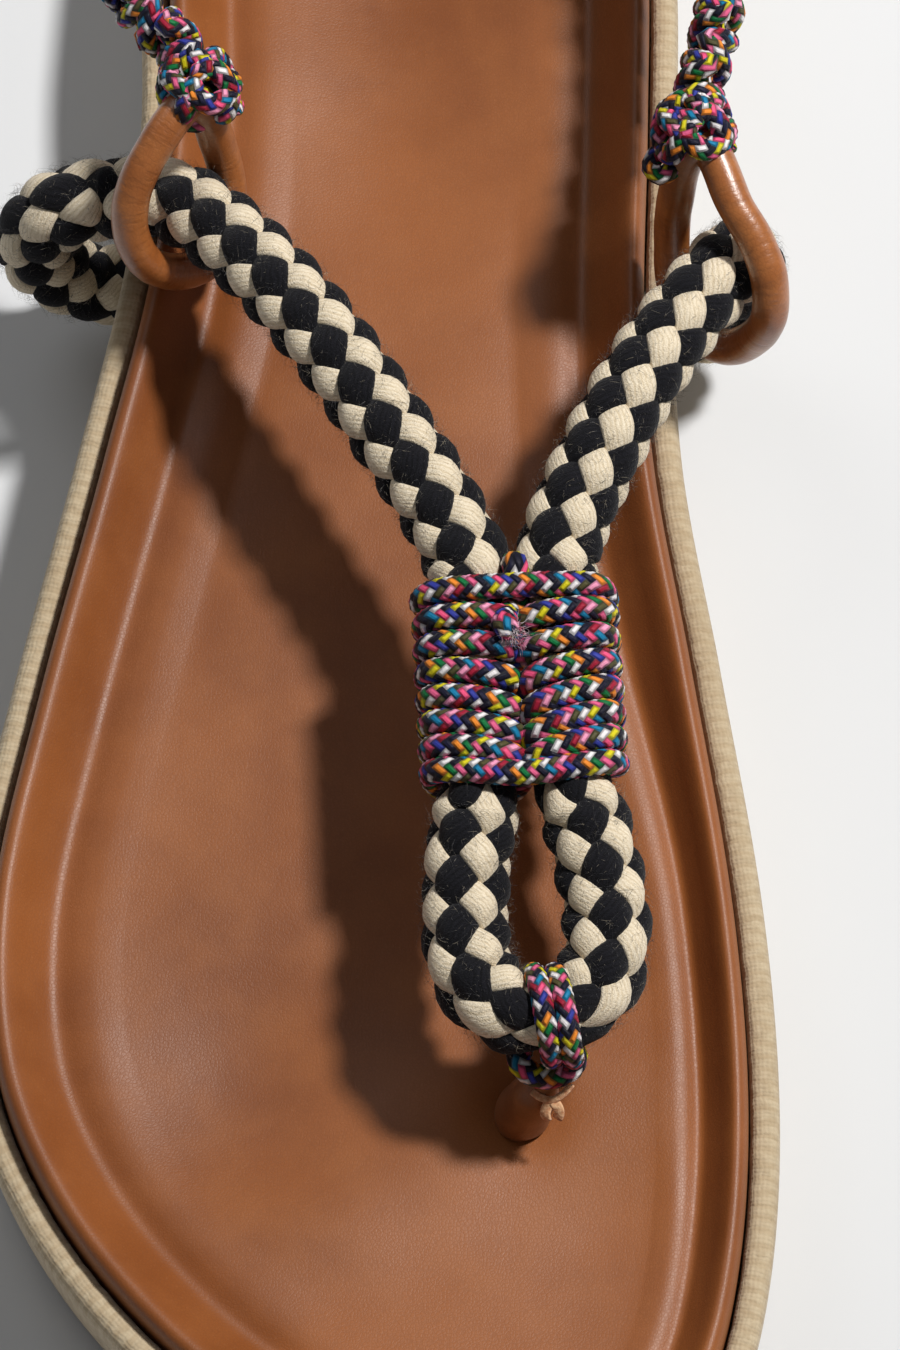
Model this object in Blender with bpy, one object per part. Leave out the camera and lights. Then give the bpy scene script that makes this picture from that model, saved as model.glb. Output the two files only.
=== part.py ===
# Toe post sandal for the right foot, about EU 38, with a braided rope upper.
# The last's frame: +X is the medial side, +Y the heel, +Z up, the floor at Z = 0.
# Every size and table below is in millimetres in that frame.
import math

import bmesh
import bpy
from mathutils import Vector

MM = 0.001
FIT_GAP = 0.3

# Place of the last's frame in the part's frame, which starts under the middle of the whole part
LAST_X = 7.64
LAST_Y = -18.0

# Outline of the sole's widest level: from the toe tip along the medial side, round the heel and back
# Columns: x, y
OUTLINE = (
    (8.0, -107.0),
    (20.5, -104.0),
    (30.0, -94.5),
    (35.4, -80.5),
    (38.0, -58.0),
    (36.9, -31.0),
    (32.3, 1.0),
    (28.3, 26.0),
    (27.4, 46.0),
    (28.2, 72.0),
    (28.4, 98.0),
    (25.2, 122.0),
    (13.5, 138.0),
    (-5.0, 143.0),
    (-23.5, 138.0),
    (-35.3, 122.0),
    (-38.6, 98.0),
    (-38.4, 74.0),
    (-40.0, 53.0),
    (-45.5, 27.0),
    (-52.4, -3.0),
    (-57.2, -30.0),
    (-55.9, -51.0),
    (-49.0, -68.0),
    (-37.8, -83.0),
    (-23.5, -95.5),
    (-7.5, -104.2),
)
HEEL_ROW = 13
SIDE_STEPS = 30
SPINE_FROM_TOE = 38.0
SPINE_FROM_HEEL = 34.0

# Heights along the last: the footbed's middle, its rim on each side, and how far the middle is hollowed
LAST_COLUMNS = ("y", "footbed", "rim_medial", "rim_lateral", "hollow")
LAST = (
    (-107.0, 20.6, 3.6, 3.6, 0.6),
    (-85.0, 17.4, 4.0, 4.0, 1.0),
    (-58.0, 16.0, 4.4, 4.4, 1.4),
    (-20.0, 17.0, 4.6, 4.6, 1.0),
    (10.0, 18.6, 5.4, 4.6, -0.4),
    (45.0, 21.4, 6.6, 4.8, -0.8),
    (80.0, 23.2, 6.6, 5.2, 1.2),
    (115.0, 23.6, 6.4, 6.2, 2.4),
    (143.0, 24.6, 6.4, 6.4, 1.6),
)

# Underside: toe spring ahead of the ball, a raised waist, a bevel behind the heel, flat between them
TOE_SPRING_FROM = -60.0
TOE_SPRING = 8.0
WAIST_FROM = 5.0
WAIST_TO = 80.0
WAIST_LIFT = 3.0
HEEL_BEVEL_FROM = 122.0
HEEL_BEVEL = 2.5

# Side of the sole, from the tread up to the ledge round the footbed
LEDGE_OVER_FOOTBED = 1.0
LEDGE_WIDTH = 3.45
SEAT_UNDER_FOOTBED = 5.0
TREAD_INSET = 4.0
TREAD_FANS = (0.35, 0.7, 1.0)
SEAT_FANS = (0.6, 0.3)
# Columns: inset, share of the side's height
SOLE_SIDE = (
    (2.0, 0.03),
    (1.0, 0.14),
    (0.4, 0.45),
    (0.0, 0.88),
    (0.6, 0.975),
    (1.7, 1.0),
    (LEDGE_WIDTH, 0.985),
)

# Section of the footbed's rim, from its foot beside the ledge over the crest to the flat
# Columns: inset, share of the rim's height
RIM = (
    (4.0, 0.62),
    (4.7, 0.90),
    (5.8, 1.0),
    (7.2, 0.86),
    (9.0, 0.47),
    (11.0, 0.14),
    (13.5, 0.0),
)
RIM_FOOT_DROP = 0.4
FOOTBED_FANS = (0.72, 0.4)

# Rope: its braid has eight columns of diamonds, each diamond one pitch long
ROPE_CREST = 5.15
ROPE_VALLEY = 4.65
BRAID_COLUMNS = 8
BRAID_PITCH = 5.8
ROPE_SPACING = 10.8

# Rope ends: each leaves a socket in the sole's side and turns up in an arc
SOCKET_HEIGHT = 10.5
SOCKET_RADIUS = 5.6
SOCKET_DEPTH = 13.0
SOCKET_MOUTH = 9.0
ROPE_END_CLEARANCE = 0.6
TURN_STEP = 30.0
# Columns: side, x of the turn, y, radius of the turn, degrees turned
ROPE_ENDS = {
    "lateral": (-1, -40.1, 57.0, 10.9, 180.0),
    "medial": (1, 28.2, 51.0, 8.8, 90.0),
}

# Rope straps, from the rope's ends to the binding
# Columns: x, y, z
LATERAL_STRAP = (
    (-32.2, 53.6, 37.0),
    (-19.5, 39.3, 41.0),
    (-8.2, 22.8, 41.0),
)
MEDIAL_STRAP = (
    (36.3, 48.0, 33.2),
    (32.7, 42.4, 39.0),
    (24.7, 31.7, 41.0),
    (18.9, 21.0, 41.0),
)

# Binding: the run where both ropes lie side by side under eight turns of thin cord
BINDING_TOP = (7.2, 4.2, 39.0)
BINDING_END = (8.5, -21.5, 37.0)
BINDING_TURNS = 8
BINDING_ROPE_SHARES = (-0.05, 0.25, 0.5, 0.75, 1.05)
THIN_CORD = 2.7
BINDING_DIP = 1.2
BINDING_DIP_SHOULDER = 0.4
BINDING_GROOVE = 0.9
BINDING_ARC_STEPS = 8
# Columns: share of the turn, share of the groove's depth
RIB = (
    (0.0, 1.0),
    (0.3, 0.15),
    (0.7, 0.15),
)

# Toe loop of the rope, mirrored about its middle line
# Columns: y, half width, middle x, z
TOE_LOOP = (
    (-26.0, 6.2, 9.1, 35.8),
    (-30.5, 7.2, 9.3, 35.0),
    (-36.0, 7.9, 9.7, 34.0),
    (-41.0, 7.9, 9.8, 33.4),
    (-45.3, 6.7, 9.9, 33.0),
    (-48.3, 3.9, 10.2, 33.0),
)
TOE_LOOP_END = (10.5, -49.4, 33.0)

# Toe tie: two turns of thin cord round the end of the toe loop, and a bight below them
TIE_SLACK = 0.3
TIE_HALF_WIDTH = 2.65
TIE_HALF_WIDTH_INSIDE = 1.5
TIE_STEPS = 16
# Columns: share of the half width, share of the cord's thickness
TIE_PROFILE = (
    (-1.0, 0.0),
    (-1.0, 0.5),
    (-0.5, 1.0),
    (0.0, 0.72),
    (0.5, 1.0),
    (1.0, 0.5),
    (1.0, 0.0),
)
BIGHT = (
    (9.4, -50.0, 26.2),
    (6.8, -53.6, 27.6),
    (8.4, -56.6, 26.6),
    (10.9, -57.4, 26.0),
    (13.6, -56.6, 26.8),
    (15.2, -53.8, 27.8),
    (12.2, -50.0, 26.2),
)
BIGHT_STEP = 2.0

# Toe post: a leather stem from under the footbed to the tie, and the knotted end of its lace
# Columns: x, y, z, radius
POST = (
    (8.2, -56.0, 11.6, 2.9),
    (8.2, -56.0, 15.4, 2.9),
    (8.3, -55.9, 17.0, 3.3),
    (8.8, -55.5, 19.4, 2.9),
    (9.4, -55.0, 21.8, 2.7),
    (9.8, -54.6, 23.3, 2.5),
    (10.4, -54.6, 24.5, 1.9),
    (10.8, -54.65, 25.5, 1.2),
)
POST_SIDES = 12
POST_HOLE_DEPTH = 8.0
POST_KNOT = (
    (10.7, -59.1, 21.2),
    (10.9, -58.7, 22.8),
    (11.9, -58.4, 23.6),
    (12.9, -58.7, 22.8),
    (13.3, -59.1, 21.2),
)
POST_KNOT_RADIUS = 1.0
POST_KNOT_STEP = 1.2

# Leather cord loops round the rope, from the heel strap's knot over the rope and back under it
LOOP_RADIUS = 2.2
LOOP_STEP = 2.8
CORD_SIDES = 8
MEDIAL_LOOP = (
    (30.4, 53.6, 50.4),
    (34.4, 46.6, 48.4),
    (37.4, 42.8, 46.3),
    (39.3, 39.4, 43.6),
    (39.5, 36.8, 38.5),
    (37.4, 37.4, 31.0),
    (33.7, 38.2, 27.0),
    (30.0, 40.8, 26.2),
    (27.4, 45.5, 28.4),
    (26.6, 49.8, 36.0),
    (27.0, 51.6, 44.0),
    (28.2, 53.4, 49.6),
)
LATERAL_LOOP = (
    (-31.0, 59.6, 50.4),
    (-35.8, 54.0, 47.8),
    (-38.2, 50.2, 44.3),
    (-38.5, 47.6, 40.3),
    (-36.6, 45.2, 36.5),
    (-34.0, 46.0, 30.2),
    (-30.6, 48.0, 26.6),
    (-27.4, 51.4, 26.2),
    (-25.5, 55.3, 29.0),
    (-24.9, 58.0, 33.5),
    (-26.0, 59.6, 38.8),
    (-28.2, 59.9, 48.0),
)

# Heel strap: a knotted band that stands on edge, with a larger knot round the top of each loop
HEEL_STRAP = (
    (28.9, 50.5, 49.8),
    (28.9, 57.5, 51.2),
    (31.8, 70.0, 52.4),
    (34.2, 87.0, 54.6),
    (32.6, 107.0, 58.5),
    (23.5, 126.5, 62.6),
    (9.5, 135.6, 64.6),
    (-5.0, 138.0, 65.2),
    (-19.5, 135.6, 64.6),
    (-33.5, 126.5, 62.6),
    (-42.6, 107.0, 58.5),
    (-43.4, 89.0, 54.6),
    (-38.6, 74.0, 52.4),
    (-30.6, 64.0, 51.2),
    (-29.0, 57.0, 49.8),
)
STRAP_HALF_HEIGHT = 5.0
STRAP_HALF_THICKNESS = 2.6
STRAP_SCALLOP = 0.6
STRAP_KNOT_PITCH = 7.2
STRAP_STEPS_PER_KNOT = 3
STRAP_SIDES = 8
END_KNOT_AT = 4.5
END_KNOT_REACH = 4.6
END_KNOT_HEIGHT = 1.6
END_KNOT_THICKNESS = 3.4
END_KNOT_TIP = 0.55

SMOOTH_ANGLE = math.radians(50.0)
FINE_STEPS_PER_POINT = 40
LENGTH_STEPS = 400
EDGE_FINE_STEPS = 600

# Colour and roughness of each finish
FINISHES = {
    "edge_cloth": ((0.66, 0.57, 0.40), 0.85),
    "footbed_leather": ((0.27, 0.115, 0.045), 0.45),
    "post_leather": ((0.24, 0.10, 0.04), 0.5),
    "loop_leather": ((0.26, 0.11, 0.04), 0.4),
    "raw_leather": ((0.62, 0.34, 0.17), 0.7),
    "rope_cotton": ((0.30, 0.27, 0.22), 0.9),
    "thin_cord": ((0.24, 0.13, 0.18), 0.6),
}


def clear_scene():
    for item in list(bpy.data.objects):
        bpy.data.objects.remove(item, do_unlink=True)


def own_material(node_name, finish):
    """A node's own material, named for the node and its finish."""
    colour, roughness = FINISHES[finish]
    made = bpy.data.materials.new(node_name + "_" + finish)
    made.use_nodes = True
    shader = made.node_tree.nodes["Principled BSDF"]
    shader.inputs["Base Color"].default_value = (*colour, 1.0)
    shader.inputs["Roughness"].default_value = roughness
    shader.inputs["Metallic"].default_value = 0.0
    return made


def spline(knots, values):
    """A smooth curve that passes through the values at the knots."""
    last = len(knots) - 1

    def slope(index):
        low = max(index - 1, 0)
        high = min(index + 1, last)
        return (values[high] - values[low]) / (knots[high] - knots[low])

    slopes = [slope(index) for index in range(last + 1)]

    def at(place):
        place = min(max(place, knots[0]), knots[last])
        index = max(k for k in range(last) if knots[k] <= place)
        span = knots[index + 1] - knots[index]
        t = (place - knots[index]) / span
        rise = t * t * (3.0 - 2.0 * t)
        leave = t * (1.0 - t) * (1.0 - t)
        arrive = t * t * (t - 1.0)
        return (values[index] * (1.0 - rise) + values[index + 1] * rise
                + (slopes[index] * leave + slopes[index + 1] * arrive) * span)

    return at


def chord_knots(points):
    knots = [0.0]
    for before, after in zip(points, points[1:]):
        knots.append(knots[-1] + (after - before).length)
    return knots


def even_path(points, count, closed=False):
    """Evenly spaced points on a smooth curve; an open curve has count + 1 of them."""
    points = [Vector(point) for point in points]
    wrap = 2 if closed else 0
    if closed:
        points = points[-wrap:] + points + points[:wrap + 1]
    knots = chord_knots(points)
    curve = spline(knots, points)
    start = knots[wrap]
    end = knots[len(points) - 1 - wrap]
    fine_count = FINE_STEPS_PER_POINT * len(points)
    fine = [curve(start + (end - start) * k / fine_count) for k in range(fine_count + 1)]
    lengths = chord_knots(fine)
    path = []
    at = 0
    for k in range(count if closed else count + 1):
        wanted = lengths[-1] * k / count
        while at < fine_count - 1 and lengths[at + 1] < wanted:
            at += 1
        share = (wanted - lengths[at]) / (lengths[at + 1] - lengths[at])
        path.append(fine[at].lerp(fine[at + 1], share))
    return path


def path_length(points, closed=False):
    path = even_path(points, LENGTH_STEPS, closed)
    if closed:
        path.append(path[0])
    return chord_knots(path)[-1]


def tangents(path, closed=False):
    last = len(path) - 1
    found = []
    for k in range(last + 1):
        before = path[k - 1] if closed else path[max(k - 1, 0)]
        after = path[(k + 1) % (last + 1)] if closed else path[min(k + 1, last)]
        found.append((after - before).normalized())
    return found


def skin(bm, rings, closed=False):
    """Quads between neighbouring rings of points; returns the rings of vertices."""
    verts = [[bm.verts.new(point) for point in ring] for ring in rings]
    following = verts[1:] + verts[:1] if closed else verts[1:]
    for low, high in zip(verts, following):
        count = len(low)
        for k in range(count):
            n = (k + 1) % count
            bm.faces.new((low[k], low[n], high[n], high[k]))
    return verts


def circle(centre, across, up, radius, sides):
    turn = 2.0 * math.pi / sides
    return [centre + across * (radius * math.cos(k * turn)) + up * (radius * math.sin(k * turn))
            for k in range(sides)]


def capped_tube(path, radii, sides):
    """A round tube with flat ends along an open path, its sides carried along without twist."""
    bm = bmesh.new()
    rings = []
    across = tangents(path)[0].orthogonal().normalized()
    for point, along, radius in zip(path, tangents(path), radii):
        across = (across - along * across.dot(along)).normalized()
        rings.append(circle(point, across, along.cross(across), radius, sides))
    verts = skin(bm, rings)
    bm.faces.new(verts[0])
    bm.faces.new(verts[-1])
    return bm


def add_node(name, bm, finish=None):
    """An object from a mesh in millimetres. One with no finish is a cutter and isn't a piece."""
    bmesh.ops.recalc_face_normals(bm, faces=bm.faces)
    bmesh.ops.scale(bm, vec=(MM, MM, MM), verts=bm.verts)
    mesh = bpy.data.meshes.new(name)
    bm.to_mesh(mesh)
    bm.free()
    node = bpy.data.objects.new(name, mesh)
    bpy.context.collection.objects.link(node)
    node.parent = bpy.data.objects["last_frame"]
    if finish is None:
        node.hide_render = True
        node.display_type = "WIRE"
        return node
    mesh.materials.append(own_material(name, finish))
    mesh.shade_smooth()
    mesh.set_sharp_from_angle(angle=SMOOTH_ANGLE)
    return node


def combine(node, other, operation):
    change = node.modifiers.new(other.name, "BOOLEAN")
    change.object = other
    change.operation = operation
    change.solver = "EXACT"


# Shape of the last

def last_edge():
    """Points round the sole's widest level, and the inward direction at each."""
    rows = [Vector(row) for row in OUTLINE]
    rows = rows[-2:] + rows + rows[:3]
    knots = chord_knots(rows)
    curve = spline(knots, rows)
    toe = 2
    heel = toe + HEEL_ROW
    toe_again = toe + len(OUTLINE)
    edge = []
    for start, end in ((toe, heel), (heel, toe_again)):
        span = knots[end] - knots[start]
        fine = [curve(knots[start] + span * k / EDGE_FINE_STEPS) for k in range(EDGE_FINE_STEPS + 1)]
        lengths = chord_knots(fine)
        for step in range(SIDE_STEPS):
            wanted = lengths[-1] * step / SIDE_STEPS
            edge.append(min(zip(lengths, fine), key=lambda pair: abs(pair[0] - wanted))[1])
    inward = []
    for k, point in enumerate(edge):
        along = (edge[(k + 1) % len(edge)] - edge[k - 1]).normalized()
        inward.append(Vector((-along.y, along.x)))
    return edge, inward


EDGE, INWARD = last_edge()
AROUND = len(EDGE)


def inset_ring(inset):
    return [point + direction * inset for point, direction in zip(EDGE, INWARD)]


def middle_x(y):
    """Half way between the two sides of the outline at y."""
    crossings = []
    for k, point in enumerate(EDGE):
        before = EDGE[k - 1]
        if (before.y - y) * (point.y - y) <= 0.0 and before.y != point.y:
            share = (y - before.y) / (point.y - before.y)
            crossings.append(before.x + (point.x - before.x) * share)
    return (min(crossings) + max(crossings)) / 2.0


def last_spine():
    toe = OUTLINE[0][1] + SPINE_FROM_TOE
    heel = OUTLINE[HEEL_ROW][1] - SPINE_FROM_HEEL
    ys = [toe + (heel - toe) * k / SIDE_STEPS for k in range(SIDE_STEPS + 1)]
    return [Vector((middle_x(y), y)) for y in ys]


SPINE = last_spine()


def fan_ring(inset, share):
    """Points a share of the way from the spine out to an inset ring."""
    ring = inset_ring(inset)
    return [SPINE[min(k, AROUND - k)].lerp(point, share) for k, point in enumerate(ring)]


LAST_Y_VALUES = [row[0] for row in LAST]
LAST_CURVES = {name: spline(LAST_Y_VALUES, [row[column] for row in LAST])
               for column, name in enumerate(LAST_COLUMNS)}


def tread_height(y):
    if y < TOE_SPRING_FROM:
        return TOE_SPRING * ((TOE_SPRING_FROM - y) / (TOE_SPRING_FROM - OUTLINE[0][1])) ** 2
    if WAIST_FROM < y < WAIST_TO:
        return WAIST_LIFT * math.sin(math.pi * (y - WAIST_FROM) / (WAIST_TO - WAIST_FROM)) ** 2
    if y > HEEL_BEVEL_FROM:
        return HEEL_BEVEL * ((y - HEEL_BEVEL_FROM) / (OUTLINE[HEEL_ROW][1] - HEEL_BEVEL_FROM)) ** 2
    return 0.0


def footbed_height(y):
    return LAST_CURVES["footbed"](y)


def ledge_height(y):
    return footbed_height(y) + LEDGE_OVER_FOOTBED


def seat_height(y):
    return footbed_height(y) - SEAT_UNDER_FOOTBED


def rim_height(step, y):
    side = "rim_medial" if step <= SIDE_STEPS else "rim_lateral"
    return LAST_CURVES[side](y)


def hollow_height(y, share):
    return footbed_height(y) - LAST_CURVES["hollow"](y) * (1.0 - share * share)


def raised(points, height):
    return [Vector((point.x, point.y, height(point.y))) for point in points]


def close_on_spine(bm, ring, height):
    spine = [bm.verts.new((point.x, point.y, height(point.y))) for point in SPINE]
    for k in range(SIDE_STEPS):
        bm.faces.new((ring[k], ring[k + 1], spine[k + 1], spine[k]))
        bm.faces.new((ring[-k], ring[-k - 1], spine[k + 1], spine[k]))


def sole_mesh():
    rings = [raised(fan_ring(TREAD_INSET, share), tread_height) for share in TREAD_FANS]
    for inset, share in SOLE_SIDE:
        rings.append(raised(inset_ring(inset), lambda y, share=share: (
            tread_height(y) + share * (ledge_height(y) - tread_height(y)))))
    rings.append(raised(inset_ring(LEDGE_WIDTH), seat_height))
    for share in SEAT_FANS:
        rings.append(raised(fan_ring(LEDGE_WIDTH, share), seat_height))
    bm = bmesh.new()
    verts = skin(bm, rings)
    close_on_spine(bm, verts[0], tread_height)
    close_on_spine(bm, verts[-1], seat_height)
    return bm


def footbed_mesh():
    foot = LEDGE_WIDTH + FIT_GAP

    def underside(y):
        return seat_height(y) + FIT_GAP

    rings = [raised(fan_ring(foot, share), underside) for share in reversed(SEAT_FANS)]
    rings.append(raised(inset_ring(foot), underside))
    rings.append(raised(inset_ring(foot), lambda y: ledge_height(y) - RIM_FOOT_DROP))
    for inset, share in RIM:
        points = inset_ring(inset)
        rings.append([Vector((point.x, point.y, footbed_height(point.y) + share * rim_height(k, point.y)))
                      for k, point in enumerate(points)])
    for share in FOOTBED_FANS:
        rings.append(raised(fan_ring(RIM[-1][0], share), lambda y, share=share: hollow_height(y, share)))
    bm = bmesh.new()
    verts = skin(bm, rings)
    close_on_spine(bm, verts[0], underside)
    close_on_spine(bm, verts[-1], lambda y: hollow_height(y, 0.0))
    return bm


# Rope upper and what is tied to it

def rope_end_points(side, turn_x, y, radius, turned):
    """From the bottom of the socket out of the sole's side and up round the turn."""
    depth = turn_x - side * (SOCKET_DEPTH - ROPE_END_CLEARANCE)
    points = [(depth, y, SOCKET_HEIGHT), ((depth + turn_x) / 2.0, y, SOCKET_HEIGHT)]
    for step in range(int(turned / TURN_STEP) + 1):
        angle = math.radians(step * TURN_STEP)
        points.append((turn_x + side * radius * math.sin(angle), y,
                       SOCKET_HEIGHT + radius * (1.0 - math.cos(angle))))
    return points


def binding_frame():
    top = Vector(BINDING_TOP)
    along = (Vector(BINDING_END) - top).normalized()
    across = (Vector((1.0, 0.0, 0.0)) - along * along.x).normalized()
    return top, along, across, across.cross(along)


def binding_run(side):
    """The rope's points under the binding, from its top to its end, on one side of the middle."""
    top, along, across, _ = binding_frame()
    length = (Vector(BINDING_END) - top).length
    return [top + along * (length * share) + across * (side * ROPE_SPACING / 2.0)
            for share in BINDING_ROPE_SHARES]


def rope_route():
    route = rope_end_points(*ROPE_ENDS["lateral"])
    route += LATERAL_STRAP
    route += binding_run(-1)
    route += [(middle - half, y, z) for y, half, middle, z in TOE_LOOP]
    route.append(TOE_LOOP_END)
    route += [(middle + half, y, z) for y, half, middle, z in reversed(TOE_LOOP)]
    route += reversed(binding_run(1))
    route += reversed(MEDIAL_STRAP)
    route += reversed(rope_end_points(*ROPE_ENDS["medial"]))
    return [Vector(point) for point in route]


def rope_mesh():
    """Rows of points half a pitch apart, raised where a diamond has its middle and sunk at its corners."""
    route = rope_route()
    rows = round(path_length(route) / (BRAID_PITCH / 2.0))
    path = even_path(route, rows)
    directions = tangents(path)
    turn = 2.0 * math.pi / BRAID_COLUMNS
    across = Vector((0.0, 1.0, 0.0))
    bm = bmesh.new()
    verts = []
    for row, (point, along) in enumerate(zip(path, directions)):
        across = (across - along * across.dot(along)).normalized()
        up = along.cross(across)
        ring = []
        for column in range(BRAID_COLUMNS):
            radius = ROPE_VALLEY if (row + column) % 2 else ROPE_CREST
            outward = across * math.cos(column * turn) + up * math.sin(column * turn)
            ring.append(bm.verts.new(point + outward * radius))
        verts.append(ring)
    for row, (low, high) in enumerate(zip(verts, verts[1:])):
        for column in range(BRAID_COLUMNS):
            n = (column + 1) % BRAID_COLUMNS
            a, b, c, d = low[column], low[n], high[n], high[column]
            if (row + column) % 2:
                bm.faces.new((a, b, c))
                bm.faces.new((a, c, d))
            else:
                bm.faces.new((a, b, d))
                bm.faces.new((b, c, d))
    bm.faces.new(verts[0])
    bm.faces.new(verts[-1])
    return bm


def binding_section(radius, dip):
    """Points round both ropes at a distance from their axes, dipped where the ropes meet."""
    half = ROPE_SPACING / 2.0
    shoulder = half * BINDING_DIP_SHOULDER
    shoulder_height = radius - dip * BINDING_DIP_SHOULDER
    points = []
    for side in (1, -1):
        for step in range(BINDING_ARC_STEPS + 1):
            angle = math.pi * step / BINDING_ARC_STEPS - math.pi / 2.0
            points.append((side * (half + radius * math.cos(angle)), side * radius * math.sin(angle)))
        points.append((side * shoulder, side * shoulder_height))
        points.append((0.0, side * (radius - dip)))
        points.append((-side * shoulder, side * shoulder_height))
    return points


def binding_mesh():
    top, along, across, up = binding_frame()
    length = (Vector(BINDING_END) - top).length
    inner = ROPE_CREST + FIT_GAP
    outer = inner + THIN_CORD

    def section(place, radius):
        return [top + along * place + across * x + up * z for x, z in binding_section(radius, BINDING_DIP)]

    rings = [section(0.0, inner)]
    for turn in range(BINDING_TURNS):
        for place, groove in RIB:
            rings.append(section(length * (turn + place) / BINDING_TURNS, outer - BINDING_GROOVE * groove))
    rings.append(section(length, outer - BINDING_GROOVE))
    rings.append(section(length, inner))
    bm = bmesh.new()
    skin(bm, rings, closed=True)
    return bm


def tie_mesh():
    """Two joined turns in planes across the end of the toe loop, narrower inside the loop."""
    centre = Vector(TOE_LOOP_END) + Vector((0.0, TIE_SLACK, 0.0))
    inner = ROPE_CREST + FIT_GAP + TIE_SLACK
    rings = []
    for step in range(TIE_STEPS):
        angle = 2.0 * math.pi * step / TIE_STEPS
        outward = Vector((0.0, math.cos(angle), math.sin(angle)))
        inside = max(outward.y, 0.0)
        half = TIE_HALF_WIDTH + (TIE_HALF_WIDTH_INSIDE - TIE_HALF_WIDTH) * inside
        rings.append([centre + Vector((half * across, 0.0, 0.0)) + outward * (inner + THIN_CORD * thick)
                      for across, thick in TIE_PROFILE])
    bm = bmesh.new()
    skin(bm, rings, closed=True)
    return bm


def cord_tube(points, step, radius):
    path = even_path(points, round(path_length(points) / step))
    return capped_tube(path, [radius] * len(path), CORD_SIDES)


def loop_mesh(points, radius):
    """A closed round cord whose rings are set square to the loop's own plane."""
    path = even_path(points, round(path_length(points, True) / LOOP_STEP), True)
    middle = sum(path, Vector()) / len(path)
    normal = Vector()
    for before, after in zip(path, path[1:] + path[:1]):
        normal += (before - middle).cross(after - middle)
    rings = []
    for point, along in zip(path, tangents(path, True)):
        across = along.cross(normal).normalized()
        rings.append(circle(point, across, along.cross(across), radius, CORD_SIDES))
    bm = bmesh.new()
    skin(bm, rings, closed=True)
    return bm


def heel_strap_mesh():
    """A band with a scallop for each knot, swelling to the larger knots at its two ends."""
    length = path_length(HEEL_STRAP)
    knots = round(length / STRAP_KNOT_PITCH)
    path = even_path(HEEL_STRAP, knots * STRAP_STEPS_PER_KNOT)
    turn = 2.0 * math.pi / STRAP_SIDES
    rings = []
    for row, (point, along) in enumerate(zip(path, tangents(path))):
        place = length * row / (len(path) - 1)
        from_end = min(place, length - place)
        swell = math.exp(-((from_end - END_KNOT_AT) / END_KNOT_REACH) ** 2)
        scallop = STRAP_SCALLOP * math.cos(2.0 * math.pi * row / STRAP_STEPS_PER_KNOT)
        taper = END_KNOT_TIP if from_end == 0.0 else 1.0
        height = (STRAP_HALF_HEIGHT + scallop + swell * END_KNOT_HEIGHT) * taper
        thickness = (STRAP_HALF_THICKNESS + scallop / 2.0 + swell * END_KNOT_THICKNESS) * taper
        across = along.cross(Vector((0.0, 0.0, 1.0))).normalized()
        up = across.cross(along)
        rings.append([point + across * (thickness * math.cos(k * turn)) + up * (height * math.sin(k * turn))
                      for k in range(STRAP_SIDES)])
    bm = bmesh.new()
    verts = skin(bm, rings)
    bm.faces.new(verts[0])
    bm.faces.new(verts[-1])
    return bm


# Assembly

clear_scene()
frame = bpy.data.objects.new("last_frame", None)
frame.location = (LAST_X * MM, LAST_Y * MM, 0.0)
bpy.context.collection.objects.link(frame)

sole = add_node("sole", sole_mesh(), "edge_cloth")
for name, (side, turn_x, y, _, _) in ROPE_ENDS.items():
    bottom = Vector((turn_x - side * SOCKET_DEPTH, y, SOCKET_HEIGHT))
    mouth = Vector((turn_x + side * SOCKET_MOUTH, y, SOCKET_HEIGHT))
    bore = capped_tube([bottom, mouth], [SOCKET_RADIUS] * 2, POST_SIDES)
    combine(sole, add_node(name + "_socket_cutter", bore), "DIFFERENCE")

footbed = add_node("footbed", footbed_mesh(), "footbed_leather")
post_foot = Vector(POST[1][:3])
post_hole = capped_tube(
    [post_foot - Vector((0.0, 0.0, POST_HOLE_DEPTH)), post_foot + Vector((0.0, 0.0, POST_HOLE_DEPTH))],
    [POST[2][3] + FIT_GAP] * 2, POST_SIDES)
combine(footbed, add_node("post_hole_cutter", post_hole), "DIFFERENCE")

add_node("rope_upper", rope_mesh(), "rope_cotton")
add_node("rope_binding", binding_mesh(), "thin_cord")

toe_tie = add_node("toe_tie", tie_mesh(), "thin_cord")
combine(toe_tie, add_node("bight_cutter", cord_tube(BIGHT, BIGHT_STEP, THIN_CORD / 2.0)), "UNION")

post_path = [Vector(row[:3]) for row in POST]
add_node("toe_post", capped_tube(post_path, [row[3] for row in POST], POST_SIDES), "post_leather")
add_node("post_knot", cord_tube(POST_KNOT, POST_KNOT_STEP, POST_KNOT_RADIUS), "raw_leather")

heel_strap = add_node("heel_strap", heel_strap_mesh(), "thin_cord")
for name, points in (("lateral_loop", LATERAL_LOOP), ("medial_loop", MEDIAL_LOOP)):
    add_node(name, loop_mesh(points, LOOP_RADIUS), "loop_leather")
    tunnel = add_node(name + "_cutter", loop_mesh(points, LOOP_RADIUS + FIT_GAP))
    combine(heel_strap, tunnel, "DIFFERENCE")
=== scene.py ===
# Looks of a toe post sandal for the right foot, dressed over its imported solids.
# Shapes are worked out in millimetres in the last's frame and set into the part's frame in metres.
import math

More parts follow.
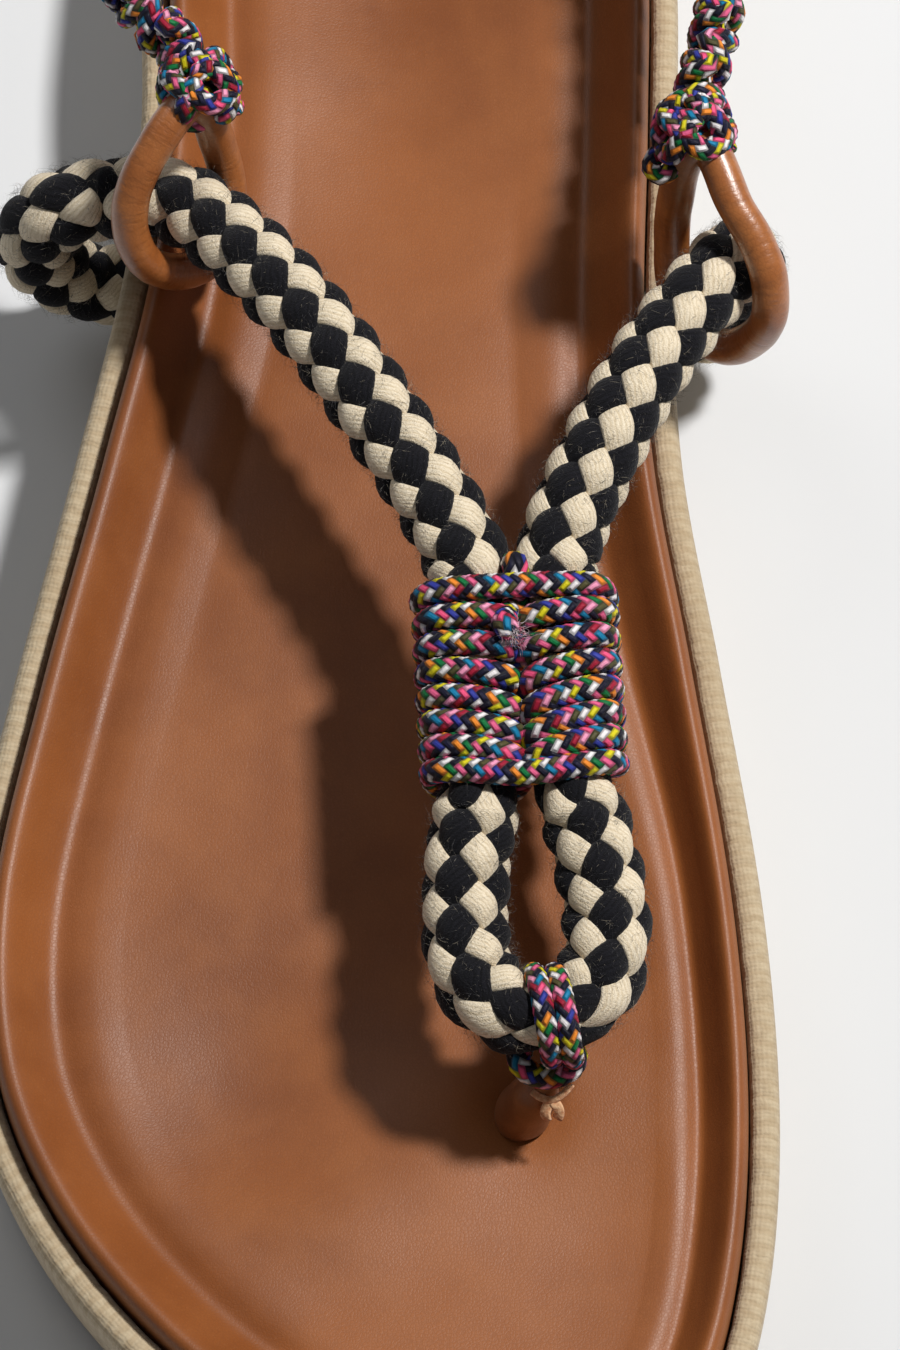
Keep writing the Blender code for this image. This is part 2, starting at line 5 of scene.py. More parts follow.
import bmesh
import bpy
import numpy as np
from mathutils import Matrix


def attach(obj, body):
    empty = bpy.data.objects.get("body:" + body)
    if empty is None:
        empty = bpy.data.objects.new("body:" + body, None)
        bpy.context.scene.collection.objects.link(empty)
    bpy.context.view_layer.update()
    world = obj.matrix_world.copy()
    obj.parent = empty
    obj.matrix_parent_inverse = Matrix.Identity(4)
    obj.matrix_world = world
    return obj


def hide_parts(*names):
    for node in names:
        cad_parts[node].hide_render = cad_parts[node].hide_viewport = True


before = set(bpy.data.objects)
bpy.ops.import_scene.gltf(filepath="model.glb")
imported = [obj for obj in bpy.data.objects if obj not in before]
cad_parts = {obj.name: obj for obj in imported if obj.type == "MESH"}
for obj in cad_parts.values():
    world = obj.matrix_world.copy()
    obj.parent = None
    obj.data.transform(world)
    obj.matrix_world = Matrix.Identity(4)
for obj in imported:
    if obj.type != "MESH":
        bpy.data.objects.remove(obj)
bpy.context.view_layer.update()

# Sole
# One moulded unit with toe spring and a raised waist. Cream ribbed cloth is pulled tight over its side
# and tucked in round the footbed, where it gathers. The tread underneath is fine-ribbed rubber.
MM = 0.001
LAST_PLACE = np.array((7.64, -18.0, 0.0))
# Columns: x, y
OUTLINE = np.array((
    (8.0, -107.0),
    (20.5, -104.0),
    (30.0, -94.5),
    (35.4, -80.5),
    (38.0, -58.0),
    (36.9, -31.0),
    (32.3, 1.0),
    (28.3, 26.0),
    (27.4, 46.0),
    (28.2, 72.0),
    (28.4, 98.0),
    (25.2, 122.0),
    (13.5, 138.0),
    (-5.0, 143.0),
    (-23.5, 138.0),
    (-35.3, 122.0),
    (-38.6, 98.0),
    (-38.4, 74.0),
    (-40.0, 53.0),
    (-45.5, 27.0),
    (-52.4, -3.0),
    (-57.2, -30.0),
    (-55.9, -51.0),
    (-49.0, -68.0),
    (-37.8, -83.0),
    (-23.5, -95.5),
    (-7.5, -104.2),
))
TOE_END = OUTLINE[0, 1]
HEEL_ROW = 13
HEEL_END = OUTLINE[HEEL_ROW, 1]
SIDE_STEPS = 360
BALL_STEP = SIDE_STEPS // 3
FINE_STEPS = 1200
WRAP = 2
SPINE_FROM_TOE = (38.0, 48.0)
SPINE_MIDDLE_FROM = 0.0
SPINE_FROM_HEEL = 34.0
SPINE_KEYS = 8
EDGE_SMOOTHING = 60
# Columns: y, footbed's middle, rim on the medial side, rim on the lateral side, hollow of the middle
LAST = np.array((
    (-107.0, 20.6, 3.6, 3.6, 0.2),
    (-85.0, 17.4, 4.0, 4.0, 0.3),
    (-58.0, 16.0, 4.4, 4.4, 0.6),
    (-20.0, 17.0, 4.6, 4.6, 0.8),
    (10.0, 18.6, 5.4, 4.6, -0.4),
    (45.0, 21.4, 6.6, 4.8, -0.8),
    (80.0, 23.2, 6.6, 5.2, 1.2),
    (115.0, 23.6, 6.4, 6.2, 2.4),
    (143.0, 24.6, 6.4, 6.4, 1.6),
))
FOOTBED, RIM_MEDIAL, RIM_LATERAL, HOLLOW = range(1, 5)
TOE_SPRING_FROM = -60.0
TOE_SPRING = 8.0
WAIST_FROM = 5.0
WAIST_TO = 80.0
WAIST_LIFT = 3.0
HEEL_BEVEL_FROM = 122.0
HEEL_BEVEL = 2.5
TREAD_INSET = 4.0
TREAD_SHARES = (0.0, 0.25, 0.5, 0.75, 1.0)
LEDGE_OVER_FOOTBED = 1.0
LEDGE_WIDTH = 3.45
SEAT_UNDER_FOOTBED = 5.0
SEAT_SHARES = (0.66, 0.33, 0.0)
# Columns: inset, share of the side's height, how much the cloth gathers there
SOLE_SIDE = (
    (2.0, 0.03, 0.0),
    (1.4, 0.07, 0.0),
    (1.0, 0.14, 0.0),
    (0.7, 0.28, 0.0),
    (0.4, 0.45, 0.0),
    (0.15, 0.68, 0.0),
    (0.0, 0.86, 0.0),
    (0.12, 0.925, 0.02),
    (0.55, 0.972, 0.06),
    (1.1, 0.994, 0.15),
    (1.7, 1.0, 0.4),
    (2.4, 0.998, 0.8),
    (3.0, 0.985, 1.0),
    (LEDGE_WIDTH, 0.93, 1.0),
)
MERGE_WITHIN = 1e-6
GATHER_SPACINGS = (5.3, 3.7)
GATHER_DEPTH = 0.15
GATHER_PULL = 0.12
# Waves round the edge that shift the gathers and that change their depth: size, how many, start
GATHER_DRIFT = ((1.8, 17.0, 0.0), (1.1, 41.0, 1.0))
GATHER_MEAN = 0.65
GATHER_SWELL = ((0.35, 29.0, 0.7),)
TREAD_FACES_BELOW = -0.6


def through(knots, values, places):
    """Values at the given places of the smooth curve that passes through the values at the knots."""
    count = len(knots)
    low = np.maximum(np.arange(count) - 1, 0)
    high = np.minimum(np.arange(count) + 1, count - 1)
    flat = values.reshape(count, -1)
    slopes = (flat[high] - flat[low]) / (knots[high] - knots[low])[:, None]
    places = np.clip(places, knots[0], knots[-1])
    at = np.clip(np.searchsorted(knots, places, side="right") - 1, 0, count - 2)
    span = (knots[at + 1] - knots[at])[:, None]
    t = (places - knots[at])[:, None] / span
    rise = t * t * (3.0 - 2.0 * t)
    leave = slopes[at] * t * (1.0 - t) ** 2
    arrive = slopes[at + 1] * t * t * (t - 1.0)
    found = flat[at] * (1.0 - rise) + flat[at + 1] * rise + (leave + arrive) * span
    return found.reshape((len(places),) + values.shape[1:])


def run_lengths(points):
    """How far along a line of points each one is."""
    return np.concatenate(([0.0], np.cumsum(np.linalg.norm(np.diff(points, axis=0), axis=1))))


def at_places(places, lengths, points):
    """Points at those distances along a line, given how far along it its own points are."""
    return np.stack([np.interp(places, lengths, column) for column in points.T], axis=-1)


def spaced(points, count):
    """That many evenly spaced places along a fine line of points."""
    lengths = run_lengths(points)
    return at_places(np.linspace(0.0, lengths[-1], count), lengths, points)


def closed(points):
    """A closed line's points with a few more at both ends, and how far along each one is."""
    rows = np.concatenate((points[-WRAP:], points, points[:WRAP + 1]))
    return rows, run_lengths(rows)


def unit(directions):
    return directions / np.linalg.norm(directions, axis=-1, keepdims=True)


def last_edge():
    """Points round the sole's widest level, from the toe tip along the medial side and back."""
    rows, knots = closed(OUTLINE)
    heel = WRAP + HEEL_ROW
    sides = []
    for start, end in ((WRAP, heel), (heel, WRAP + len(OUTLINE))):
        fine = through(knots, rows, np.linspace(knots[start], knots[end], FINE_STEPS))
        sides.append(spaced(fine, SIDE_STEPS + 1)[:-1])
    return np.concatenate(sides)


def inward_directions(edge):
    """Directions in from the edge, smoothed along it."""
    along = np.roll(edge, -1, axis=0) - np.roll(edge, 1, axis=0)
    inward = np.stack((-along[:, 1], along[:, 0]), axis=1)
    for _ in range(EDGE_SMOOTHING):
        inward = (np.roll(inward, 1, axis=0) + 2.0 * inward + np.roll(inward, -1, axis=0)) / 4.0
    return unit(inward)


def spine_round(edge, inward):
    """For each point of the edge, its point on a line straight in from the toe tip, then half way between
    the sides. Its points are closest together at its ends."""
    medial = edge[:SIDE_STEPS + 1]
    lateral = np.concatenate((edge[:1], edge[:SIDE_STEPS - 1:-1]))
    y = np.linspace(SPINE_MIDDLE_FROM, HEEL_END - SPINE_FROM_HEEL, SPINE_KEYS)
    middle = (np.interp(y, medial[:, 1], medial[:, 0]) + np.interp(y, lateral[:, 1], lateral[:, 0])) / 2.0
    start = [edge[0] + inward[0] * reach for reach in SPINE_FROM_TOE]
    rows = np.concatenate((start, np.column_stack((middle, y))))
    knots = run_lengths(rows)
    fine = through(knots, rows, np.linspace(0.0, knots[-1], FINE_STEPS))
    lengths = run_lengths(fine)
    places = lengths[-1] * (0.5 - 0.5 * np.cos(np.linspace(0.0, np.pi, SIDE_STEPS + 1)))
    line = at_places(places, lengths, fine)
    steps = np.arange(len(edge))
    return line[np.minimum(steps, len(edge) - steps)]


EDGE = last_edge()
AROUND = len(EDGE)
INWARD = inward_directions(EDGE)
SPINE = spine_round(EDGE, INWARD)
EDGE_RUN = run_lengths(np.concatenate((EDGE, EDGE[:1])))


def plan(inset, share=1.0):
    """Points at an inset from the edge, or a share of the way there from the spine."""
    return SPINE + (EDGE + INWARD * np.reshape(inset, (-1, 1)) - SPINE) * share


def last_height(column, y):
    return through(LAST[:, 0], LAST[:, column], y)


def tread_height(y):
    toe = TOE_SPRING * (np.maximum(TOE_SPRING_FROM - y, 0.0) / (TOE_SPRING_FROM - TOE_END)) ** 2
    waist = np.clip((y - WAIST_FROM) / (WAIST_TO - WAIST_FROM), 0.0, 1.0)
    heel = HEEL_BEVEL * (np.maximum(y - HEEL_BEVEL_FROM, 0.0) / (HEEL_END - HEEL_BEVEL_FROM)) ** 2
    return toe + WAIST_LIFT * np.sin(np.pi * waist) ** 2 + heel


def seat_height(y):
    return last_height(FOOTBED, y) - SEAT_UNDER_FOOTBED


def in_part(points):
    """Points of the last's frame, in millimetres, in the part's frame in metres."""
    return (points + LAST_PLACE) * MM


def loft(name, rings):
    """A circle extruded from ring to ring, closed where the rings meet on the spine."""
    bpy.ops.object.select_all(action="DESELECT")
    bpy.ops.mesh.primitive_circle_add(vertices=AROUND, radius=1.0, fill_type="NOTHING")
    piece = bpy.context.object
    piece.name = name
    mesh = piece.data
    steps = mesh.attributes.new("step", "INT", "POINT")
    steps.data.foreach_set("value", np.arange(AROUND, dtype=np.int32))
    mesh.attributes.new("row", "INT", "POINT")
    mesh.vertices.foreach_set("co", in_part(rings[0]).ravel())
    bpy.ops.object.mode_set(mode="EDIT")
    bpy.ops.mesh.select_all(action="SELECT")
    for row, ring in enumerate(rings[1:], 1):
        bpy.ops.mesh.extrude_edges_indiv()
        points = in_part(ring)
        shape = bmesh.from_edit_mesh(mesh)
        step_layer = shape.verts.layers.int["step"]
        row_layer = shape.verts.layers.int["row"]
        for vert in shape.verts:
            if vert.select:
                vert.co = points[vert[step_layer]]
                vert[row_layer] = row
        bmesh.update_edit_mesh(mesh)
    bpy.ops.object.mode_set(mode="OBJECT")
    lay_round_edge(mesh, rings)
    bpy.ops.object.mode_set(mode="EDIT")
    bpy.ops.mesh.select_all(action="SELECT")
    bpy.ops.mesh.remove_doubles(threshold=MERGE_WITHIN)
    bpy.ops.mesh.normals_make_consistent(inside=False)
    bpy.ops.object.mode_set(mode="OBJECT")
    bpy.ops.object.shade_smooth()
    return piece


def lay_round_edge(mesh, rings):
    """A map in millimetres: along the edge, and across it over the section at the ball."""
    section = run_lengths(np.array([ring[BALL_STEP] for ring in rings]))
    corners = np.empty(len(mesh.loops), dtype=np.int32)
    mesh.loops.foreach_get("vertex_index", corners)
    places = {}
    for name in ("step", "row"):
        values = np.empty(len(mesh.vertices), dtype=np.int32)
        mesh.attributes[name].data.foreach_get("value", values)
        places[name] = values[corners].reshape(-1, 4)
    steps = places["step"]
    over_seam = np.ptp(steps, axis=1) > AROUND // 2
    steps[over_seam[:, None] & (steps < AROUND // 2)] += AROUND
    lay = np.stack((EDGE_RUN[steps], section[places["row"]]), axis=-1)
    mesh.uv_layers.new(name="lay").uv.foreach_set("vector", lay.astype(np.float32).ravel())


def waves(turn, rows):
    """Waves added up; each row is a wave's size, how many there are in a turn, and its start."""
    return sum(size * np.sin(count * turn + start) for size, count, start in rows)


def gathers():
    """Folds of the tucked cloth round the edge, from 0 to 1, uneven in their spacing and depth."""
    turn = EDGE_RUN[:-1] / EDGE_RUN[-1] * 2.0 * np.pi
    drift = waves(turn, GATHER_DRIFT)
    folds = sum(np.cos(round(EDGE_RUN[-1] / spacing) * turn + drift) for spacing in GATHER_SPACINGS)
    deep = GATHER_MEAN + waves(turn, GATHER_SWELL)
    return 0.5 + 0.5 * deep * folds / len(GATHER_SPACINGS)


def sole_rings():
    rings = []
    for share in TREAD_SHARES:
        points = plan(TREAD_INSET, share)
        rings.append(np.column_stack((points, tread_height(points[:, 1]))))
    fold = gathers()
    for inset, share, gather in SOLE_SIDE:
        points = plan(inset - GATHER_PULL * gather * (fold - 0.5))
        tread = tread_height(points[:, 1])
        ledge = last_height(FOOTBED, points[:, 1]) + LEDGE_OVER_FOOTBED
        height = tread + share * (ledge - tread) - GATHER_DEPTH * gather * fold
        rings.append(np.column_stack((points, height)))
    for share in (1.0,) + SEAT_SHARES:
        points = plan(LEDGE_WIDTH, share)
        rings.append(np.column_stack((points, seat_height(points[:, 1]))))
    return rings


class Wire:
    """A shader's socket. Arithmetic on it adds Math nodes, and node() adds any other node."""

    def __init__(self, tree, socket):
        self.tree = tree
        self.socket = socket

    def node(self, kind, settings, sockets, output=0):
        made = self.tree.nodes.new(kind)
        for name, value in settings.items():
            if name == "stops":
                set_stops(made.color_ramp, value)
            elif name == "interpolation":
                made.color_ramp.interpolation = value
            else:
                setattr(made, name, value)
        for name, value in sockets.items():
            if isinstance(value, Wire):
                self.tree.links.new(value.socket, made.inputs[name])
            else:
                made.inputs[name].default_value = value
        return Wire(self.tree, made.outputs[output])

    def maths(self, operation, first, second=0.0):
        return self.node("ShaderNodeMath", {"operation": operation}, {0: first, 1: second})

    def __add__(self, other):
        return self.maths("ADD", self, other)

    __radd__ = __add__

    def __sub__(self, other):
        return self.maths("SUBTRACT", self, other)

    def __rsub__(self, other):
        return self.maths("SUBTRACT", other, self)

    def __mul__(self, other):
        return self.maths("MULTIPLY", self, other)

    def __truediv__(self, other):
        return self.maths("DIVIDE", self, other)

    def __mod__(self, other):
        return self.maths("FLOORED_MODULO", self, other)


def set_stops(ramp, stops):
    ramp.elements.remove(ramp.elements[1])
    ramp.elements[0].position, ramp.elements[0].color = stops[0]
    for place, colour in stops[1:]:
        ramp.elements.new(place).color = colour


def colour(red, green, blue):
    """A colour given as on a screen, from 0 to 255, as the shader's linear one."""
    linear = [c / 12.92 if c <= 0.04045 else ((c + 0.055) / 1.055) ** 2.4
              for c in (red / 255.0, green / 255.0, blue / 255.0)]
    return (*linear, 1.0)


def new_finish(name, steady):
    """A material, its shader with the values that are the same all over, and the place on the piece."""
    finish = bpy.data.materials.new(name)
    finish.use_nodes = True
    tree = finish.node_tree
    shader = tree.nodes["Principled BSDF"]
    for socket, value in steady.items():
        shader.inputs[socket].default_value = value
    place = Wire(tree, tree.nodes.new("ShaderNodeTexCoord").outputs["Object"])
    return finish, shader, place


def feed(shader, sockets):
    for name, wire in sockets.items():
        wire.tree.links.new(wire.socket, shader.inputs[name])


def lay_of(place):
    """The two directions of the piece's own map."""
    lay = place.node("ShaderNodeUVMap", {"uv_map": "lay"}, {})
    return [lay.node("ShaderNodeSeparateXYZ", {}, {0: lay}, axis) for axis in (0, 1)]


def wave(along, length):
    """From 0 to 1 and back over each length."""
    return along.maths("COSINE", along * (2.0 * math.pi / length)) * 0.5 + 0.5


def noise(place, size, detail=2.0):
    """Soft blotches of about that size in metres."""
    return place.node("ShaderNodeTexNoise", {}, {"Vector": place, "Scale": 1.0 / size, "Detail": detail})


def ramp(value, low, high, low_out=0.0, high_out=1.0):
    return value.node("ShaderNodeMapRange", {"interpolation_type": "SMOOTHSTEP"}, {
        "Value": value, "From Min": low, "From Max": high, "To Min": low_out, "To Max": high_out})


def mix(share, first, second, blend="MIX"):
    return share.node("ShaderNodeMix", {"data_type": "RGBA", "blend_type": blend},
                      {0: share, 6: first, 7: second}, 2)


def relief(height):
    """A surface raised by that many millimetres."""
    return height.node("ShaderNodeBump", {}, {"Strength": 1.0, "Distance": MM, "Height": height})


def edge_cloth():
    finish, shader, place = new_finish("edge_cloth", {"Sheen Weight": 0.2, "Specular IOR Level": 0.25})
    along, across = lay_of(place)
    wander = noise(place, 0.0045)
    ribs = wave(along + wander * 2.6, 1.7)
    uneven = noise(place, 0.0012) * 0.5
    threads = wave(along + uneven, 0.52) * 0.5 + wave(across + uneven, 0.52) * 0.5
    soil = ramp(noise(place, 0.022, 4.0), 0.42, 0.72)
    # Painted shade: the cream is a little lighter on the ribs' crests than in the dips between them; the
    # soil below is real dirt.
    cream = mix(ramp(ribs, 0.0, 0.7), colour(189, 170, 140), colour(198, 181, 152))
    soiled_and_rib_shaded = mix(soil * 0.35, cream, colour(166, 144, 113))
    feed(shader, {
        "Base Color": mix(threads * 0.2 + ramp(uneven, 0.2, 0.32) * 0.25, soiled_and_rib_shaded, colour(156, 134, 104)),
        "Roughness": 0.82 + noise(place, 0.003) * 0.16,
        "Normal": relief(ribs * 0.04 + threads * 0.045 + uneven * 0.3 + noise(place, 0.0007) * 0.1),
    })
    return finish


def tread_rubber():
    finish, shader, place = new_finish("tread_rubber", {"Specular IOR Level": 0.35})
    along = place.node("ShaderNodeSeparateXYZ", {}, {0: place}, 1) / MM
    ribs = ramp(wave(along, 3.2), 0.35, 0.6)
    dust = ramp(noise(place, 0.018, 4.0), 0.4, 0.7)
    feed(shader, {
        "Base Color": mix(dust * 0.5, colour(150, 118, 82), colour(178, 154, 122)),
        "Roughness": 0.7 + dust * 0.2,
        "Normal": relief(ribs * 0.6 + noise(place, 0.0006) * 0.05),
    })
    return finish


sole = loft("sole_unit", sole_rings())
sole.data.materials.append(edge_cloth())
sole.data.materials.append(tread_rubber())
for face in sole.data.polygons:
    face.material_index = int(face.normal.z < TREAD_FACES_BELOW)
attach(sole, "root")
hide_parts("sole")

# Footbed
# A contoured board covered in satin tan leather, moulded down over it in one piece. A narrow rim is
# rolled all round, with a crease along its foot and a soft shoulder where the flat begins.
FIT_GAP = 0.3
FOOTBED_UNDER_SHARES = (0.0, 0.33, 0.66, 1.0)
RIM_FOOT_DROP = 0.4
# Columns: inset, share of the rim's height, rise over that
RIM = np.array((
    (3.75, 0.20, 0.0),
    (3.85, 0.55, 0.0),
    (4.2, 0.82, 0.0),
    (4.8, 0.97, 0.0),
    (5.4, 1.0, 0.0),
    (6.1, 0.93, 0.0),
    (7.1, 0.73, 0.0),
    (8.3, 0.46, -0.1),
    (9.6, 0.21, -0.25),
    (10.8, 0.04, -0.45),
    (11.8, 0.0, -0.5),
    (12.8, 0.0, -0.25),
    (14.0, 0.0, 0.1),
    (15.6, 0.0, 0.28),
    (17.4, 0.0, 0.2),
    (19.5, 0.0, 0.0),
))
RIM_TOP = 5.4
RIM_ROWS = 44
# Its rows are spaced along its section as if the rim were this high all round
RIM_HEIGHT = 4.0
MEDIAL_SIDE = np.arange(AROUND) <= SIDE_STEPS
# The trough inside the rim is narrower on the medial side of the forefoot
TROUGH_NARROWING = 0.36
NARROW_FROM = 22.0
NARROW_OVER = 50.0
NARROW_FROM_TOE = 40
FLAT_SHARES = np.linspace(0.93, 0.0, 15)
# Soft forms of the flat: x, y, reach along x, reach along y, rise
SOFT_FORMS = (
    (8.2, -55.0, 4.6, 4.6, -1.3),
    (4.0, -55.0, 24.0, 9.5, 1.0),
    (-15.0, -68.0, 13.0, 7.5, 0.8),
    (-23.0, -52.0, 13.0, 13.0, -1.8),
    (20.0, -72.0, 11.0, 16.0, -0.6),
    (-12.0, -18.0, 16.0, 14.0, 0.5),
    (-8.0, 56.0, 15.0, 40.0, -1.5),
    (-6.0, 104.0, 16.0, 24.0, -0.4),
)
# The inset where they begin, and over how far they come to their full rise
SOFT_FROM = 10.0
SOFT_OVER = 9.0


def soft_forms(points):
    rise = np.zeros(len(points))
    for x, y, reach_x, reach_y, height in SOFT_FORMS:
        away = (points - (x, y)) / (reach_x, reach_y)
        rise += height * np.exp(-(away ** 2).sum(axis=1))
    return rise


def ease(share):
    share = np.clip(share, 0.0, 1.0)
    return share * share * (3.0 - 2.0 * share)


def round_rim(inset):
    """Where an inset of the rim's section lies all round the edge."""
    narrow = ease((NARROW_FROM - EDGE[:, 1]) / NARROW_OVER) * ease(np.arange(AROUND) / NARROW_FROM_TOE)
    return inset - max(inset - RIM_TOP, 0.0) * TROUGH_NARROWING * narrow * MEDIAL_SIDE


def footbed_rings():
    foot = LEDGE_WIDTH + FIT_GAP
    rings = []
    for share in FOOTBED_UNDER_SHARES:
        points = plan(foot, share)
        rings.append(np.column_stack((points, seat_height(points[:, 1]) + FIT_GAP)))
    points = plan(foot)
    rings.append(np.column_stack((
        points, last_height(FOOTBED, points[:, 1]) + LEDGE_OVER_FOOTBED - RIM_FOOT_DROP)))
    section = run_lengths(RIM[:, :2] * (1.0, RIM_HEIGHT))
    for inset, share, rise in through(section, RIM, np.linspace(0.0, section[-1], RIM_ROWS)):
        points = plan(round_rim(inset))
        y = points[:, 1]
        rim = np.where(MEDIAL_SIDE, last_height(RIM_MEDIAL, y), last_height(RIM_LATERAL, y))
        soft = soft_forms(points) * np.clip((inset - SOFT_FROM) / SOFT_OVER, 0.0, 1.0)
        rings.append(np.column_stack((points, last_height(FOOTBED, y) + soft + share * rim + rise)))
    for share in FLAT_SHARES:
        points = plan(round_rim(RIM[-1, 0]), share)
        y = points[:, 1]
        hollow = last_height(HOLLOW, y) * (1.0 - share * share)
        rings.append(np.column_stack((points, last_height(FOOTBED, y) - hollow + soft_forms(points))))
    return rings


def grain(place, cell):
    """Fine pebbled grain of leather, from 0 in its creases to 1."""
    cells = place.node("ShaderNodeTexVoronoi", {"feature": "DISTANCE_TO_EDGE"}, {
        "Vector": place, "Scale": 1.0 / cell, "Randomness": 0.9})
    return ramp(cells, 0.0, 0.22)


def footbed_leather():
    finish, shader, place = new_finish("footbed_leather", {
        "Specular IOR Level": 0.38, "Coat Roughness": 0.46, "Coat IOR": 1.45})
    cloudy = noise(place, 0.03, 4.0)
    mottle = noise(place, 0.006, 3.0)
    swell = noise(place, 0.017, 1.0)
    pebbles = grain(place, 0.00042)
    pores = noise(place, 0.0003, 3.0)
    tan = mix(ramp(cloudy, 0.3, 0.72), colour(127, 70, 31), colour(150, 87, 41))
    tan = mix(ramp(mottle, 0.35, 0.8) * 0.3, tan, colour(160, 97, 49))
    # Painted shade: the leather is darker in the creases of its grain.
    tan = mix((1.0 - pebbles) * 0.14, tan, colour(92, 52, 26))
    feed(shader, {
        # Painted glints: pale flecks on the raised pores.
        "Base Color": mix(ramp(pores, 0.58, 0.8) * 0.14, tan, colour(190, 136, 94)),
        "Roughness": 0.37 + mottle * 0.14 + (1.0 - pebbles) * 0.06,
        "Coat Weight": ramp(cloudy, 0.3, 0.8, 0.02, 0.12),
        "Normal": relief(pebbles * 0.007 + pores * 0.02 + mottle * 0.05 + swell * 0.24),
    })
    return finish


footbed = loft("footbed_cover", footbed_rings())
footbed.data.materials.append(footbed_leather())
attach(footbed, "root")
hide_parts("footbed")

# Toe post
# A short stem of tan leather that comes up through the footbed and ends under the tie. The raw ends of
# the thin lace that ties it stand out beside it as two pale curled strips.
# Columns: x, y, z, radius
POST = np.array((
    (8.2, -55.0, 11.8, 2.9),
    (8.2, -55.0, 15.2, 3.0),
    (8.25, -55.0, 16.3, 3.25),
    (8.4, -54.95, 17.8, 3.2),
    (8.8, -54.9, 19.4, 3.0),
    (9.3, -54.8, 21.2, 2.85),
    (9.9, -54.7, 22.9, 2.6),
    (10.3, -54.5, 24.2, 2.15),
    (10.7, -54.3, 25.4, 1.75),
    (10.9, -54.1, 26.6, 1.5),
    (11.0, -53.9, 27.6, 1.2),
    (11.0, -53.8, 28.0, 0.5),
))
POST_SIDES = 32
POST_ROWS = 60
POST_FOLDS = 3.0
POST_FOLD_START = 0.6
POST_FOLD_DEPTH = 0.025
# Width of each strip, then the points of its middle line
LACE_STRIPS = (
    (0.85, ((9.3, -55.8, 25.9), (10.3, -56.4, 25.5), (11.6, -56.6, 25.3), (12.9, -56.0, 25.8),
            (13.8, -55.1, 26.4))),
    (1.25, ((11.3, -56.7, 25.1), (11.0, -57.2, 24.7), (10.8, -57.8, 24.1), (11.0, -58.2, 23.4))),
    (1.25, ((11.8, -56.7, 25.1), (12.2, -57.2, 24.7), (12.4, -57.7, 24.1), (12.2, -58.1, 23.4))),
)
LACE_THICKNESS = 0.45
LACE_SIDES = 12
LACE_SQUARE = 0.5
LACE_ROW = 0.3
LACE_FACING = (1.0, 0.4, 0.0)
LACE_CURL = 0.9
FINE_PER_KEY = 24
LEAST_ROWS = 4


def round_angles(count):
    """That many even steps of a whole turn."""
    return np.arange(count) * 2.0 * np.pi / count


def turned(first, second, angle):
    """Directions turned by an angle from the first ones towards the second."""
    return first * np.cos(angle)[..., None] + second * np.sin(angle)[..., None]


def carried_frames(path, start):
    """Directions along a line of points and two across it, carried along without twist."""
    along = unit(np.gradient(path, axis=0))
    across = np.empty_like(path)
    side = np.array(start, dtype=float)
    for k, direction in enumerate(along):
        side = unit(side - direction * np.dot(side, direction))
        across[k] = side
    return along, across, np.cross(along, across)


def smooth_line(points, step):
    """Evenly spaced points on the smooth curve through the given ones."""
    points = np.asarray(points, dtype=float)
    knots = run_lengths(points)
    fine = through(knots, points, np.linspace(0.0, knots[-1], FINE_PER_KEY * len(points)))
    return spaced(fine, max(LEAST_ROWS, round(run_lengths(fine)[-1] / step) + 1))


def tube_faces(rows, sides, first):
    """Quads of a tube and the two fans that close it; its points come row by row, then its two ends."""
    row, side = np.meshgrid(np.arange(rows - 1), np.arange(sides), indexing="ij")
    following = (side + 1) % sides
    corners = (row * sides + side, row * sides + following,
               (row + 1) * sides + following, (row + 1) * sides + side)
    quads = np.stack(corners, axis=-1).reshape(-1, 4) + first
    ends = first + rows * sides
    last = first + (rows - 1) * sides
    fans = []
    for k in range(sides):
        n = (k + 1) % sides
        fans.append((first + n, first + k, ends))
        fans.append((last + k, last + n, ends + 1))
    return quads.tolist() + fans


def face_outwards(piece):
    bpy.ops.object.select_all(action="DESELECT")
    piece.select_set(True)
    bpy.context.view_layer.objects.active = piece
    bpy.ops.object.mode_set(mode="EDIT")
    bpy.ops.mesh.select_all(action="SELECT")
    bpy.ops.mesh.normals_make_consistent(inside=False)
    bpy.ops.object.mode_set(mode="OBJECT")


def add_piece(name, points, faces, lay=()):
    """A mesh object from points in the last's frame, with its map where one is given."""
    mesh = bpy.data.meshes.new(name)
    mesh.from_pydata(in_part(points).tolist(), [], faces)
    if len(lay):
        mesh.uv_layers.new(name="lay").uv.foreach_set("vector", np.asarray(lay, dtype=np.float32).ravel())
    mesh.shade_smooth()
    piece = bpy.data.objects.new(name, mesh)
    bpy.context.collection.objects.link(piece)
    face_outwards(piece)
    return piece


def tubes_piece(name, tubes):
    """Closed tubes as one piece; each is its rings, its two end points and its quads' map or None."""
    points = []
    faces = []
    lay = []
    first = 0
    for rings, ends, quads_lay in tubes:
        rows, sides = rings.shape[:2]
        points += [rings.reshape(-1, 3), ends]
        faces += tube_faces(rows, sides, first)
        if quads_lay is not None:
            fans = np.zeros((2 * sides * 3, 2))
            lay.append(np.concatenate((quads_lay.reshape(-1, 2), fans)))
        first += rows * sides + 2
    return add_piece(name, np.concatenate(points), faces, np.concatenate(lay) if lay else ())


def post_tube():
    knots = run_lengths(POST[:, :3])
    rows = through(knots, POST, np.linspace(0.0, knots[-1], POST_ROWS))
    _, across, up = carried_frames(rows[:, :3], (1.0, 0.0, 0.0))
    angles = round_angles(POST_SIDES)
    folds = 1.0 + POST_FOLD_DEPTH * np.cos(POST_FOLDS * angles + POST_FOLD_START)
    outward = turned(across[:, None], up[:, None], angles) * folds[:, None]
    return rows[:, None, :3] + outward * rows[:, 3, None, None], rows[[0, -1], :3], None


